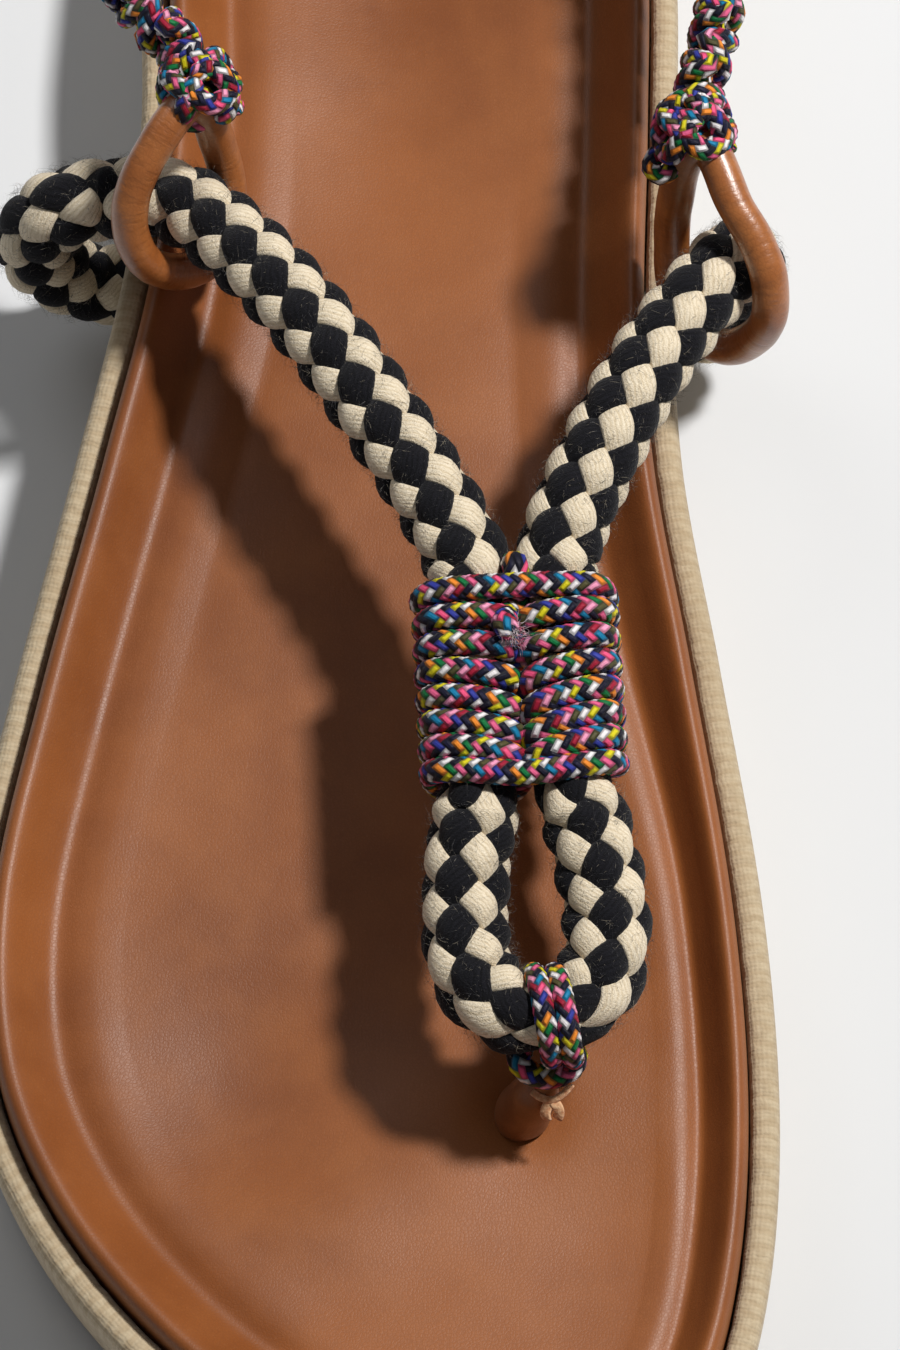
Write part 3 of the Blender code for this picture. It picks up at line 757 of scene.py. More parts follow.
def strip_section(width):
    """How far the points round a flat strip with rounded edges are across it and through it."""
    around = np.stack((np.cos(round_angles(LACE_SIDES)), np.sin(round_angles(LACE_SIDES))), axis=1)
    return np.sign(around) * np.abs(around) ** LACE_SQUARE * (width / 2.0, LACE_THICKNESS / 2.0)


def lace_tube(width, strip):
    section = strip_section(width)
    path = smooth_line(strip, LACE_ROW)
    _, across, up = carried_frames(path, LACE_FACING)
    curl = np.linspace(0.0, LACE_CURL, len(path))
    wide = turned(across, up, curl)[:, None] * section[:, :1]
    thick = turned(up, -across, curl)[:, None] * section[:, 1:]
    return path[:, None] + wide + thick, path[[0, -1]], None


def post_leather():
    """Satin leather of the stem, with painted shade in the creases of its grain."""
    finish, shader, place = new_finish("post_leather", {
        "Specular IOR Level": 0.6, "Coat Roughness": 0.24, "Coat IOR": 1.5})
    mottle = noise(place, 0.004, 3.0)
    creases = noise(place, 0.0011, 3.0)
    pebbles = grain(place, 0.00055)
    tan = mix(ramp(mottle, 0.25, 0.8), colour(122, 72, 36), colour(150, 94, 52))
    feed(shader, {
        # Painted shade: darker in the creases of the grain.
        "Base Color": mix((1.0 - pebbles) * 0.12, tan, colour(88, 50, 26)),
        "Roughness": 0.42 + mottle * 0.1,
        "Coat Weight": ramp(mottle, 0.3, 0.8, 0.4, 0.65),
        "Normal": relief(pebbles * 0.008 + creases * 0.025),
    })
    return finish


def raw_leather():
    finish, shader, place = new_finish("raw_leather", {"Specular IOR Level": 0.25, "Sheen Weight": 0.3})
    fibres = noise(place, 0.0005, 4.0)
    feed(shader, {
        "Base Color": mix(ramp(fibres, 0.3, 0.7), colour(200, 136, 94), colour(240, 194, 150)),
        "Roughness": 0.7 + fibres * 0.2,
        "Normal": relief(fibres * 0.12),
    })
    return finish


post = tubes_piece("toe_post_stem", [post_tube()])
post.data.materials.append(post_leather())
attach(post, "root")
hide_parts("toe_post")

lace = tubes_piece("post_lace_ends", [lace_tube(*strip) for strip in LACE_STRIPS])
lace.data.materials.append(raw_leather())
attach(lace, "root")
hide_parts("post_knot")

# Rope upper
# One length of thick cotton rope: eight flat strands of loose yarns, four black and four cream, braided
# one over one round each other. It runs from the lateral side round the toe loop and out to the medial side.
SOCKET_HEIGHT = 10.5
SOCKET_DEPTH = 12.4
TURN_STEP = 30.0
# Columns: side, x of the turn, y, radius of the turn, degrees turned
LATERAL_END = (-1, -40.1, 57.0, 10.9, 180.0)
MEDIAL_END = (1, 26.8, 51.0, 8.6, 90.0)
# Columns: x, y, z
LATERAL_STRAP = (
    (-32.2, 53.6, 37.0),
    (-19.5, 39.3, 41.0),
    (-8.2, 22.8, 41.0),
)
MEDIAL_STRAP = (
    (34.9, 48.0, 33.2),
    (31.8, 42.4, 39.0),
    (24.7, 31.7, 41.0),
    (18.9, 21.0, 41.0),
)
BINDING_TOP = np.array((7.2, 4.2, 39.0))
BINDING_END = np.array((8.5, -21.5, 37.0))
BINDING_ROPE_SHARES = (-0.05, 0.25, 0.5, 0.75, 1.05)
ROPE_SPACING = 10.8
BINDING_FIRST = 4.3
BINDING_PITCH = 3.02
BINDING_ROWS = 8
# Columns: y, half width, middle x, z
TOE_LOOP = (
    (-26.0, 6.2, 9.1, 35.8),
    (-30.5, 7.2, 9.3, 35.0),
    (-36.0, 7.9, 9.7, 34.0),
    (-41.0, 7.9, 9.8, 33.4),
    (-45.3, 6.7, 9.9, 33.0),
    (-48.3, 3.9, 10.2, 33.0),
)
TOE_LOOP_END = (10.5, -49.4, 33.0)
ROPE_STEP = 0.25
BRAID_PITCH = 5.8
BRAID_COLUMNS = 8
QUARTER_PITCHES = 4.0
# Columns: share of its place that a strand fills, half its thickness
BLACK_STRAND = (1.08, 0.98)
CREAM_STRAND = (0.97, 0.88)
STRAND_MIDDLE = 3.58
STRAND_SWING = 0.72
STRAND_LEAN = 0.12
STRAND_STEP = 0.4
STRAND_OVER = np.linspace(-1.0, 1.0, 13)
STRAND_UNDER = np.array((0.6, 0.0, -0.6))
STRAND_UNDER_DEPTH = 0.5
STRAND_DOME = 0.6
YARNS = 8
# How far along the rope, and how many degrees it has turned there
ROPE_TWIST = (
    (0.0, 110.0, 150.0, 172.0, 195.0, 250.0, 330.0),
    (0.0, 0.0, 10.0, 0.0, -10.0, -45.0, -45.0),
)
# How much of its girth the rope keeps under the binding and under the toe tie
BINDING_SQUEEZE = 0.76
TIE_SQUEEZE = 0.84
# How far before the first turn and after the last the binding squeezes it, and how soon
SQUEEZE_BEFORE = 3.0
SQUEEZE_AFTER = 1.0
SQUEEZE_EASE = 4.0
UNDER_BINDING = 3.0
TIE_ASIDE = 1.0
TIE_REACH = 2.2
# Hairs of loose cotton
HAIRS = 19000
HAIRS_FROM_END = 16.0
HAIR_FOOT = 4.7
HAIR_LENGTH = (0.3, 1.8)
HAIR_RADIUS = 0.0145
HAIR_LEAN = 0.7
HAIR_BEND = 0.5
HAIR_RISE = 0.8
# Share of the length and share of the bend at a hair's middle and at its tip
HAIR_STEPS = ((0.5, 0.3), (1.0, 1.0))
HAIR_CORNERS = np.array(((1.0, 0.0, 0.0), (-0.5, 0.87, 0.3), (-0.5, -0.87, -0.3)))
HAIR_TAPER = 0.8



def rope_end_points(side, turn_x, y, radius, turned):
    """From the bottom of the socket out of the sole's side and up round the turn."""
    depth = turn_x - side * SOCKET_DEPTH
    points = [(depth, y, SOCKET_HEIGHT), ((depth + turn_x) / 2.0, y, SOCKET_HEIGHT)]
    for step in range(int(turned / TURN_STEP) + 1):
        angle = math.radians(step * TURN_STEP)
        points.append((turn_x + side * radius * math.sin(angle), y,
                       SOCKET_HEIGHT + radius * (1.0 - math.cos(angle))))
    return points


def binding_frame():
    """Its top, and the directions along the ropes, across them and up."""
    along = unit(BINDING_END - BINDING_TOP)
    across = unit(np.array((1.0, 0.0, 0.0)) - along * along[0])
    return BINDING_TOP, along, across, np.cross(along, across)


def binding_run(side):
    top, along, across, _ = binding_frame()
    length = np.linalg.norm(BINDING_END - BINDING_TOP)
    return [top + along * (length * share) + across * (side * ROPE_SPACING / 2.0)
            for share in BINDING_ROPE_SHARES]


def rope_route():
    route = rope_end_points(*LATERAL_END)
    route += LATERAL_STRAP
    route += binding_run(-1)
    route += [(middle - half, y, z) for y, half, middle, z in TOE_LOOP]
    route.append(TOE_LOOP_END)
    route += [(middle + half, y, z) for y, half, middle, z in reversed(TOE_LOOP)]
    route += reversed(binding_run(1))
    route += reversed(MEDIAL_STRAP)
    route += reversed(rope_end_points(*MEDIAL_END))
    return np.array(route, dtype=float)


ROPE_LINE = smooth_line(rope_route(), ROPE_STEP)
ROPE_RUN = run_lengths(ROPE_LINE)
ROPE_FRAME = carried_frames(ROPE_LINE, (0.0, 1.0, 0.0))


def rope_squeeze():
    """Share of its girth that the rope keeps at each point of its line."""
    top, along, across, _ = binding_frame()
    away = ROPE_LINE - top
    down = away @ along
    after_first = down - BINDING_FIRST + SQUEEZE_BEFORE
    before_last = BINDING_FIRST + BINDING_ROWS * BINDING_PITCH + SQUEEZE_AFTER - down
    bound = np.prod(np.clip((after_first / SQUEEZE_EASE, before_last / SQUEEZE_EASE), 0.0, 1.0), axis=0)
    bound[np.abs(away @ across) > ROPE_SPACING] = 0.0
    bound[ROPE_LINE[:, 2] < BINDING_END[2] - UNDER_BINDING] = 0.0
    tied = np.clip(2.0 - np.abs(ROPE_LINE[:, 0] - TOE_LOOP_END[0] - TIE_ASIDE) / TIE_REACH, 0.0, 1.0)
    tied[np.abs(ROPE_LINE[:, 1] - TOE_LOOP_END[1]) > 2.0 * TIE_REACH] = 0.0
    return (1.0 - (1.0 - BINDING_SQUEEZE) * bound) * (1.0 - (1.0 - TIE_SQUEEZE) * tied)


ROPE_SQUEEZE = rope_squeeze()


def on_rope(distance, angle, radius):
    """Points round the rope's line: how far along it, which way round and how far out."""
    distance = np.clip(distance, 0.0, ROPE_RUN[-1])
    middle, across, up = [at_places(distance, ROPE_RUN, rows) for rows in (ROPE_LINE, *ROPE_FRAME[1:])]
    return middle + turned(across, up, angle) * radius[..., None]


def strand_tube(turn, index, fullness, half_thickness):
    """Rings of one strand, its two ends and the map of its quads across and along it.

    Turn is 1 or -1 for its way round the rope; it lies over every second strand that it meets.
    """
    count = QUARTER_PITCHES * ROPE_RUN[-1] / BRAID_PITCH
    section = np.concatenate((STRAND_OVER, STRAND_UNDER))
    q, x = np.meshgrid(np.arange(0.0, count, STRAND_STEP), section, indexing="ij")
    phase = np.pi * (q / 2.0 + turn * index)
    swing = turn * np.cos(phase)
    lean = STRAND_LEAN * turn * np.sin(phase)
    column = (turn * (q - lean) + 2 * index + x * fullness) / 2.0
    along = (q + lean - turn * (2 * index + x * fullness)) / 2.0
    rise = half_thickness * np.maximum(1.0 - x * x, 0.0) ** STRAND_DOME
    rise[:, len(STRAND_OVER):] = -STRAND_UNDER_DEPTH * half_thickness
    distance = along * BRAID_PITCH / 2.0
    radius = (STRAND_MIDDLE + STRAND_SWING * swing + rise) * np.interp(distance, ROPE_RUN, ROPE_SQUEEZE)
    angle = column * 2.0 * np.pi / BRAID_COLUMNS + np.radians(np.interp(distance, *ROPE_TWIST))
    rings = on_rope(distance, angle, radius)
    lay = np.stack((x, q), axis=-1)
    following = np.roll(lay, -1, axis=1)
    quads_lay = np.stack((lay[:-1], following[:-1], following[1:], lay[1:]), axis=2)
    return rings, rings[[0, -1]].mean(axis=1), quads_lay


def strands_piece(name, turn, fullness, half_thickness):
    strands = range(BRAID_COLUMNS // 2)
    return tubes_piece(name, [strand_tube(turn, index, fullness, half_thickness) for index in strands])


def cotton(name, dark, light, sheen):
    """Loose cotton yarns that lie side by side along each strand, with painted shade in the grooves between
    them.
    """
    finish, shader, place = new_finish(name, {"Sheen Weight": sheen, "Sheen Roughness": 0.5,
                                              "Specular IOR Level": 0.15})
    across, along = lay_of(place)
    wander = noise(place, 0.0016)
    yarns = wave(across + wander * 0.4, 2.0 / YARNS)
    drawn_out = across.node("ShaderNodeCombineXYZ", {}, {0: across * 11.0, 1: along * 1.3})
    streaks = noise(drawn_out, 1.0, 3.0)
    fibres = noise(place, 0.0002, 3.0)
    # Painted shade: darker in the grooves between the yarns; the streaks and fibres give an uneven tone.
    shade = ramp(yarns, 0.4, 1.0) * 0.15 + fibres * 0.4 + streaks * 0.46
    feed(shader, {
        "Base Color": mix(ramp(shade, 0.2, 0.75), light, dark),
        "Roughness": 0.85 + fibres * 0.12,
        "Normal": relief(fibres * 0.15 - streaks * 0.06 - yarns * 0.02),
    })
    return finish


def loose_cotton():
    finish, shader, place = new_finish("loose_cotton", {"Sheen Weight": 0.2, "Specular IOR Level": 0.15})
    pick = noise(place, 0.0007, 0.0)
    feed(shader, {
        "Base Color": mix(ramp(pick, 0.56, 0.67), colour(44, 43, 48), colour(176, 166, 147)),
        "Roughness": 0.85 + pick * 0.12,
    })
    return finish


def spikes_piece(name, feet, middles, tips, radius):
    """Fine tapered hairs as one mesh, each of three sides."""
    corners = HAIR_CORNERS * radius
    points = np.concatenate(
        (feet[:, None] + corners, middles[:, None] + corners * HAIR_TAPER, tips[:, None]), axis=1)
    sides = len(corners)
    faces = []
    for k in range(len(feet)):
        foot = k * points.shape[1]
        middle = foot + sides
        for side in range(sides):
            other = (side + 1) % sides
            faces.append((foot + side, foot + other, middle + other, middle + side))
            faces.append((middle + side, middle + other, middle + sides))
        faces.append((foot + 2, foot + 1, foot))
    return add_piece(name, points.reshape(-1, 3), faces)


def rope_hairs():
    """Loose cotton that stands off the braid, away from its ends in the sole."""
    draw = np.random.default_rng(7)
    distance = draw.uniform(HAIRS_FROM_END, ROPE_RUN[-1] - HAIRS_FROM_END, HAIRS)
    angle = draw.uniform(0.0, 2.0 * np.pi, HAIRS)
    length = draw.uniform(*HAIR_LENGTH, HAIRS)
    lean = draw.normal(0.0, HAIR_LEAN, (HAIRS, 2))
    bend = draw.normal(0.0, HAIR_BEND, (HAIRS, 2))
    squeeze = np.interp(distance, ROPE_RUN, ROPE_SQUEEZE)
    rows = [on_rope(distance, angle, HAIR_FOOT * squeeze)]
    for share, bent in HAIR_STEPS:
        aside = (lean + bend * bent) * (length * share)[:, None]
        rows.append(on_rope(distance + aside[:, 0], angle + aside[:, 1] / HAIR_FOOT,
                            HAIR_FOOT * squeeze + length * share * HAIR_RISE))
    return spikes_piece("rope_hairs", *rows, HAIR_RADIUS)


black_strands = strands_piece("rope_black_strands", 1, *BLACK_STRAND)
black_strands.data.materials.append(cotton("black_cotton", colour(9, 9, 13), colour(26, 26, 32), 0.08))
cream_strands = strands_piece("rope_cream_strands", -1, *CREAM_STRAND)
cream_strands.data.materials.append(
    cotton("cream_cotton", colour(205, 187, 156), colour(241, 229, 207), 0.2))
hairs = rope_hairs()
hairs.data.materials.append(loose_cotton())
for piece in (black_strands, cream_strands, hairs):
    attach(piece, "root")
for piece in (black_strands, cream_strands):
    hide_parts("rope_upper")

# Binding
# Thin multicoloured cord, itself a fine braid of sixteen strands laid two over two. Its first and last
# turns go round both ropes, and the six between cross in figures of eight, down through the middle.
CORD_RADIUS = 1.48
CORD_COLUMNS = 16
CORD_REPEAT = 4.0
CORD_ROW = 0.5
CORD_KNOBS = 0.035
CORD_FACING = (0.3, 0.9, 0.2)
CORD_END_LEAST = 0.05
# Half width and half height of the winding round one rope, and how square its corners are
WINDING_WIDTH = 5.2
WINDING_HEIGHT = 4.6
WINDING_SQUARE = 2.8
# The cord's start: its frayed end between the second and third turns, the groove between the ropes, and
# a short stretch that shows above the first turn. Columns: across the ropes, up and along them
CORD_START = (
    (-0.3, 6.4, 11.3),
    (-1.2, 6.3, 10.1),
    (-1.5, 5.2, 8.9),
    (-0.9, 3.0, 7.4),
    (0.0, 2.2, 5.6),
    (0.2, 3.6, 2.8),
    (0.3, 4.3, 1.6),
    (-0.2, 2.2, 1.0),
    (-1.6, -3.0, 2.4),
    (-5.4, -4.8, 3.6),
)
FRAY_FIBRES = 170
FRAY_LENGTH = (0.5, 1.7)
FRAY_RADIUS = 0.035
FRAY_SPREAD = 0.55
FRAY_BACK = 0.5
FRAY_AHEAD = 0.6
FRAY_SCATTER = 0.75
FRAY_BEND = 0.5
# How far each turn dips towards the toe between the ropes, in turns
BINDING_DIPS = (0.0, 0.15, 0.35, 0.55, 0.7, 0.75, 0.7, 0.55)
# Key places of a plain turn: which rope, degrees round it, share of the turn's advance, share of its dip
PLAIN_TURN = (
    (-1, 180.0, 0.0, 0.0),
    (-1, 135.0, 0.0, 0.3),
    (-1, 95.0, 0.0, 0.65),
    (1, 85.0, 0.02, 0.65),
    (1, 45.0, 0.05, 0.3),
    (1, 0.0, 0.2, 0.0),
    (1, -45.0, 0.35, 0.0),
    (1, -88.0, 0.5, 0.0),
    (-1, -92.0, 0.7, 0.0),
    (-1, -135.0, 0.85, 0.0),
)
# The last turn goes back up behind the ropes, and its end is tucked between them
LAST_TURN = (
    (-1, 180.0, -0.1, 0.0),
    (-1, 135.0, 0.0, 0.3),
    (-1, 95.0, 0.0, 0.65),
    (0, 90.0, 0.0, 1.0),
    (1, 85.0, 0.0, 0.65),
    (1, 45.0, 0.0, 0.3),
    (1, 0.0, -0.15, 0.0),
    (1, -45.0, -0.6, 0.0),
    (1, -88.0, -1.2, 0.0),
    (-1, -92.0, -1.5, 0.0),
    (0, 0.0, -1.8, 0.0),
)
# Key places of a figure of eight, from the lateral rope over and under to the medial one and back
EIGHT_TURN = (
    (-1, 180.0, 0.0, 0.0),
    (-1, 135.0, 0.0, 0.3),
    (-1, 90.0, 0.0, 0.65),
    (-1, 50.0, 0.02, 1.0),
    (0, 0.0, 0.05, 1.0),
    (1, -130.0, 0.0, 0.8),
    (1, -90.0, -0.05, 0.5),
    (1, -45.0, -0.1, 0.2),
    (1, 0.0, -0.1, 0.0),
    (1, 45.0, -0.08, 0.3),
    (1, 90.0, -0.02, 0.65),
    (1, 130.0, 0.08, 1.0),
    (0, 0.0, 0.4, 1.0),
    (-1, -50.0, 0.7, 0.8),
    (-1, -90.0, 0.85, 0.4),
    (-1, -135.0, 0.95, 0.1),
)
CORD_COLOURS = (
    (0, 112, 58),
    (238, 140, 44),
    (18, 18, 48),
    (48, 58, 154),
    (238, 84, 130),
    (14, 124, 168),
    (16, 16, 40),
    (226, 96, 140),
    (242, 156, 190),
    (158, 24, 52),
    (14, 14, 40),
    (238, 234, 236),
    (14, 14, 34),
    (216, 204, 26),
    (236, 232, 234),
    (78, 74, 42),
)


def by_binding(keys):
    """Points given across the two ropes, up from them and along them."""
    top, along, across, up = binding_frame()
    keys = np.array(keys)
    return top + across * keys[:, :1] + up * keys[:, 1:2] + along * keys[:, 2:]


def frayed_fibres():
    """Fibres that spread from the cord's cut end."""
    draw = np.random.default_rng(3)
    end, before = by_binding(CORD_START)[:2]
    ahead = unit(end - before)
    feet = end + draw.normal(0.0, FRAY_SPREAD, (FRAY_FIBRES, 3)) - ahead * FRAY_BACK
    spread = ahead * FRAY_AHEAD + draw.normal(0.0, FRAY_SCATTER, (FRAY_FIBRES, 3))
    half = draw.uniform(*FRAY_LENGTH, (FRAY_FIBRES, 1)) / 2.0
    middles = feet + spread * half
    tips = middles + (spread + draw.normal(0.0, FRAY_BEND, (FRAY_FIBRES, 3))) * half
    return spikes_piece("binding_fray", feet, middles, tips, FRAY_RADIUS)


def round_ropes(rope, degrees):
    """Where the cord's middle is across and up: round one of the ropes, or between them where rope is 0."""
    angle = math.radians(degrees)
    across = math.cos(angle)
    up = math.sin(angle)
    reach = (abs(across) ** WINDING_SQUARE + abs(up) ** WINDING_SQUARE) ** (-1.0 / WINDING_SQUARE)
    if not rope and not degrees:
        reach = 0.0
    return rope * ROPE_SPACING / 2.0 + WINDING_WIDTH * reach * across, WINDING_HEIGHT * reach * up


def winding_line():
    """Middle line of the cord: from its frayed end up the groove, then turn after turn down the binding."""
    keys = list(CORD_START)
    place = BINDING_FIRST
    for row, dip in enumerate(BINDING_DIPS):
        turn = EIGHT_TURN
        if row == 0:
            turn = PLAIN_TURN
        elif row == BINDING_ROWS - 1:
            turn = LAST_TURN
        for rope, degrees, advance, share in turn:
            keys.append((*round_ropes(rope, degrees), place + (advance + share * dip) * BINDING_PITCH))
        place += BINDING_PITCH
    return by_binding(keys)


def cord_tube(line, radius):
    """A braided cord along a line of points: rings with a knob at each crossing, its ends and its map."""
    path = smooth_line(line, CORD_ROW)
    rows = len(path)
    _, across, up = carried_frames(path, CORD_FACING)
    row, column = np.meshgrid(np.arange(rows), np.arange(CORD_COLUMNS), indexing="ij")
    knob = 1.0 + CORD_KNOBS * np.where((row + column) % 2, -1.0, 1.0)
    from_end = np.minimum(row, rows - 1 - row) * CORD_ROW
    taper = np.sqrt(np.clip(1.0 - (1.0 - from_end / radius) ** 2, CORD_END_LEAST, 1.0))
    taper = np.where(from_end < radius, taper, 1.0)
    outward = turned(across[:, None], up[:, None], round_angles(CORD_COLUMNS))
    rings = path[:, None] + outward * (radius * knob * taper)[..., None]
    lay = np.stack((column, row), axis=-1)[:-1]
    quads_lay = np.stack([lay + corner for corner in ((0, 0), (1, 0), (1, 1), (0, 1))], axis=2)
    return rings, path[[0, -1]], quads_lay


def cords_piece(name, cords):
    """Several cords as one piece; each is its line of points and its radius."""
    return tubes_piece(name, [cord_tube(*cord) for cord in cords])


def either(share, first, second):
    """The first where the share is 1 and the second where it is 0."""
    return first * share + second * (1.0 - share)


def cord_braid():
    """Sixteen coloured strands, eight each way round; each lies over two and under two of the others.
    Painted shade darkens each float towards its sides and its ends.
    """
    finish, shader, place = new_finish("cord_braid", {"Specular IOR Level": 0.26, "Sheen Weight": 0.05})
    around, along = lay_of(place)
    one_way = (around - along) * 0.5
    other_way = (around + along) * 0.5
    first = one_way.maths("FLOOR", one_way + 0.5)
    second = other_way.maths("FLOOR", other_way + 0.5)
    over = first.maths("LESS_THAN", (first + second) % CORD_REPEAT, 1.5)
    each_way = CORD_COLUMNS / 2.0
    strand = either(over, first % each_way, second % each_way + each_way)
    stops = [(k / CORD_COLUMNS, colour(*shade)) for k, shade in enumerate(CORD_COLOURS)]
    dye = strand.node("ShaderNodeValToRGB", {"interpolation": "CONSTANT", "stops": stops},
                      {0: (strand + 0.5) / CORD_COLUMNS})
    off_middle = over.maths("ABSOLUTE", either(over, one_way - first, other_way - second)) * 2.0
    down_one = (first + other_way + 0.5) % CORD_REPEAT - 1.0
    down_other = (one_way + second + 0.5) % CORD_REPEAT - 3.0
    off_end = over.maths("ABSOLUTE", either(over, down_one, down_other))
    # Painted shade: each float darkens to near black towards its sides and its ends, where it goes under the
    # next strands; the same dome raises it in the relief.
    dome_and_edge_shade = ramp(off_middle, 0.3, 1.0, 1.0, 0.0) * ramp(off_end, 0.45, 1.0, 1.0, 0.0)
    threads = noise(place, 0.0002, 2.0)
    feed(shader, {
        "Base Color": mix((1.0 - dome_and_edge_shade) * 0.62, dye, colour(8, 7, 14)),
        "Roughness": 0.48 + threads * 0.25,
        "Normal": relief(dome_and_edge_shade * 0.16 + threads * 0.05),
    })
    return finish


def melted_fibre():
    finish, shader, place = new_finish("melted_fibre", {"Specular IOR Level": 0.4})
    patches = noise(place, 0.0009, 2.0)
    pale = mix(ramp(patches, 0.42, 0.6), colour(236, 226, 230), colour(222, 120, 150))
    feed(shader, {
        "Base Color": mix(ramp(noise(place, 0.0013), 0.5, 0.62), pale, colour(96, 118, 176)),
        "Roughness": 0.5 + patches * 0.3,
    })
    return finish


BRAID_FINISH = cord_braid()
binding = cords_piece("binding_cord", [(winding_line(), CORD_RADIUS)])
binding.data.materials.append(BRAID_FINISH)
fray = frayed_fibres()
fray.data.materials.append(melted_fibre())
for piece in (binding, fray):
    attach(piece, "root")
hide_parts("rope_binding")

# Toe tie
# The same thin cord. Two turns hold the bottom of the toe loop, lying a little aslant, and a bight of it
# runs below them like a smile and holds the top of the toe post.
TIE_CORD_RADIUS = 1.27
TIE_RADIUS = 4.8
TIE_TURNS = 2
TIE_PITCH = 2.35
TIE_SLANT = -0.5
TIE_KEYS_PER_TURN = 12
BIGHT_RADIUS = 1.4
# Columns: x, y, z
BIGHT = (
    (9.0, -50.6, 27.8),
    (7.8, -52.3, 28.5),
    (8.2, -53.8, 28.4),
    (9.6, -54.6, 28.0),
    (11.0, -54.8, 27.9),
    (12.4, -54.6, 28.0),
    (13.8, -53.8, 28.4),
    (14.2, -52.3, 28.5),
    (13.0, -50.6, 27.8),
)


def tie_line():
    """Two turns across the end of the toe loop, starting and ending under the rope."""
    keys = []
    count = TIE_TURNS * TIE_KEYS_PER_TURN
    for k in range(count + 1):
        turned = k / TIE_KEYS_PER_TURN
        angle = 2.0 * math.pi * turned - math.pi / 2.0
        aside = TIE_ASIDE + TIE_PITCH * (turned - TIE_TURNS / 2.0) + TIE_SLANT * math.cos(angle)
        keys.append((TOE_LOOP_END[0] + aside, TOE_LOOP_END[1] + TIE_RADIUS * math.cos(angle),
                     TOE_LOOP_END[2] + TIE_RADIUS * math.sin(angle)))
    return keys


tie = cords_piece("toe_tie_cord", [(tie_line(), TIE_CORD_RADIUS), (BIGHT, BIGHT_RADIUS)])
tie.data.materials.append(BRAID_FINISH)
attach(tie, "root")
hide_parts("toe_tie")

# Leather loops
# Round cord of satin tan leather, stitched to itself inside the knots of the heel strap. Each loop hangs
# round one rope strap, over it on the outer side and back under it on the inner side.
LOOP_RADIUS = 2.2
LOOP_ROWS = 160
LOOP_SIDES = 24
# Waves of its girth along it: size, how many, start
LOOP_UNEVEN = ((0.012, 5.0, 0.0), (0.008, 13.0, 1.0))
# Columns: x, y, z
MEDIAL_LOOP = np.array((
    (30.4, 53.6, 50.4),
    (33.5, 46.9, 48.4),
    (36.0, 43.2, 46.3),
    (37.6, 39.8, 43.6),
    (37.8, 37.2, 38.8),
    (36.1, 37.8, 32.0),
    (33.2, 38.8, 28.2),
    (30.0, 41.2, 27.4),
    (27.4, 45.5, 29.0),
    (26.6, 49.8, 36.0),
    (27.0, 51.6, 44.0),
    (28.2, 53.4, 49.6),
))
LATERAL_LOOP = np.array((
    (-31.0, 59.6, 50.4),
    (-35.4, 54.2, 47.8),
    (-37.7, 50.4, 44.3),
    (-38.0, 47.8, 40.3),
    (-36.6, 46.2, 36.5),
    (-34.0, 46.8, 32.6),
    (-30.8, 48.6, 30.0),
    (-28.0, 51.5, 29.6),
    (-27.0, 55.2, 31.2),
    (-26.8, 57.8, 34.6),
    (-27.6, 59.4, 39.6),
    (-29.2, 59.9, 48.0),
))


def leather_loop(name, points):
    """A ring whose rows are moved to the loop's line, square to the loop's own plane."""
    rows, knots = closed(points)
    fine = through(knots, rows, np.linspace(knots[WRAP], knots[WRAP + len(points)], FINE_STEPS))
    line = spaced(fine, LOOP_ROWS + 1)[:-1]
    arms = line - line.mean(axis=0)
    normal = np.cross(arms, np.roll(arms, -1, axis=0)).sum(axis=0)
    along = unit(np.roll(line, -1, axis=0) - np.roll(line, 1, axis=0))
    across = unit(np.cross(along, normal))
    up = np.cross(along, across)
    girth = LOOP_RADIUS * (1.0 + waves(round_angles(LOOP_ROWS), LOOP_UNEVEN))
    outward = turned(across[:, None], up[:, None], round_angles(LOOP_SIDES))
    bpy.ops.object.select_all(action="DESELECT")
    bpy.ops.mesh.primitive_torus_add(major_segments=LOOP_ROWS, minor_segments=LOOP_SIDES)
    piece = bpy.context.object
    piece.name = name
    piece.data.vertices.foreach_set("co", in_part(line[:, None] + outward * girth[:, None, None]).ravel())
    piece.data.uv_layers.active.name = "lay"
    piece.data.update()
    face_outwards(piece)
    bpy.ops.object.shade_smooth()
    return piece


def loop_leather():
    """Satin leather of the round cord, with fine wrinkles across it and painted shade in them and in the
    creases of its grain.
    """
    finish, shader, place = new_finish("loop_leather", {
        "Specular IOR Level": 0.6, "Coat Roughness": 0.32, "Coat IOR": 1.5})
    along, around = lay_of(place)
    angle = around * (2.0 * math.pi)
    drawn_out = along.node("ShaderNodeCombineXYZ", {}, {
        0: along * 95.0, 1: angle.maths("COSINE", angle) * 0.8, 2: angle.maths("SINE", angle) * 0.8})
    smooth = ramp(noise(drawn_out, 1.0, 3.0), 0.34, 0.56)
    mottle = noise(place, 0.004, 3.0)
    pebbles = grain(place, 0.00055)
    tan = mix(ramp(mottle, 0.25, 0.8), colour(152, 88, 42), colour(174, 108, 56))
    feed(shader, {
        # Painted shade: darker in the wrinkles and in the creases of the grain.
        "Base Color": mix((1.0 - smooth) * 0.16 + (1.0 - pebbles) * 0.12, tan, colour(88, 50, 26)),
        "Roughness": 0.3 + mottle * 0.1,
        "Coat Weight": ramp(mottle, 0.3, 0.8, 0.4, 0.65),
        "Normal": relief(smooth * 0.026 + pebbles * 0.008),
    })
    return finish


LOOP_FINISH = loop_leather()
for name, points in (("lateral_loop", LATERAL_LOOP), ("medial_loop", MEDIAL_LOOP)):
    loop = leather_loop(name + "_cord", points)
    loop.data.materials.append(LOOP_FINISH)
    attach(loop, "root")
    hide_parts(name)

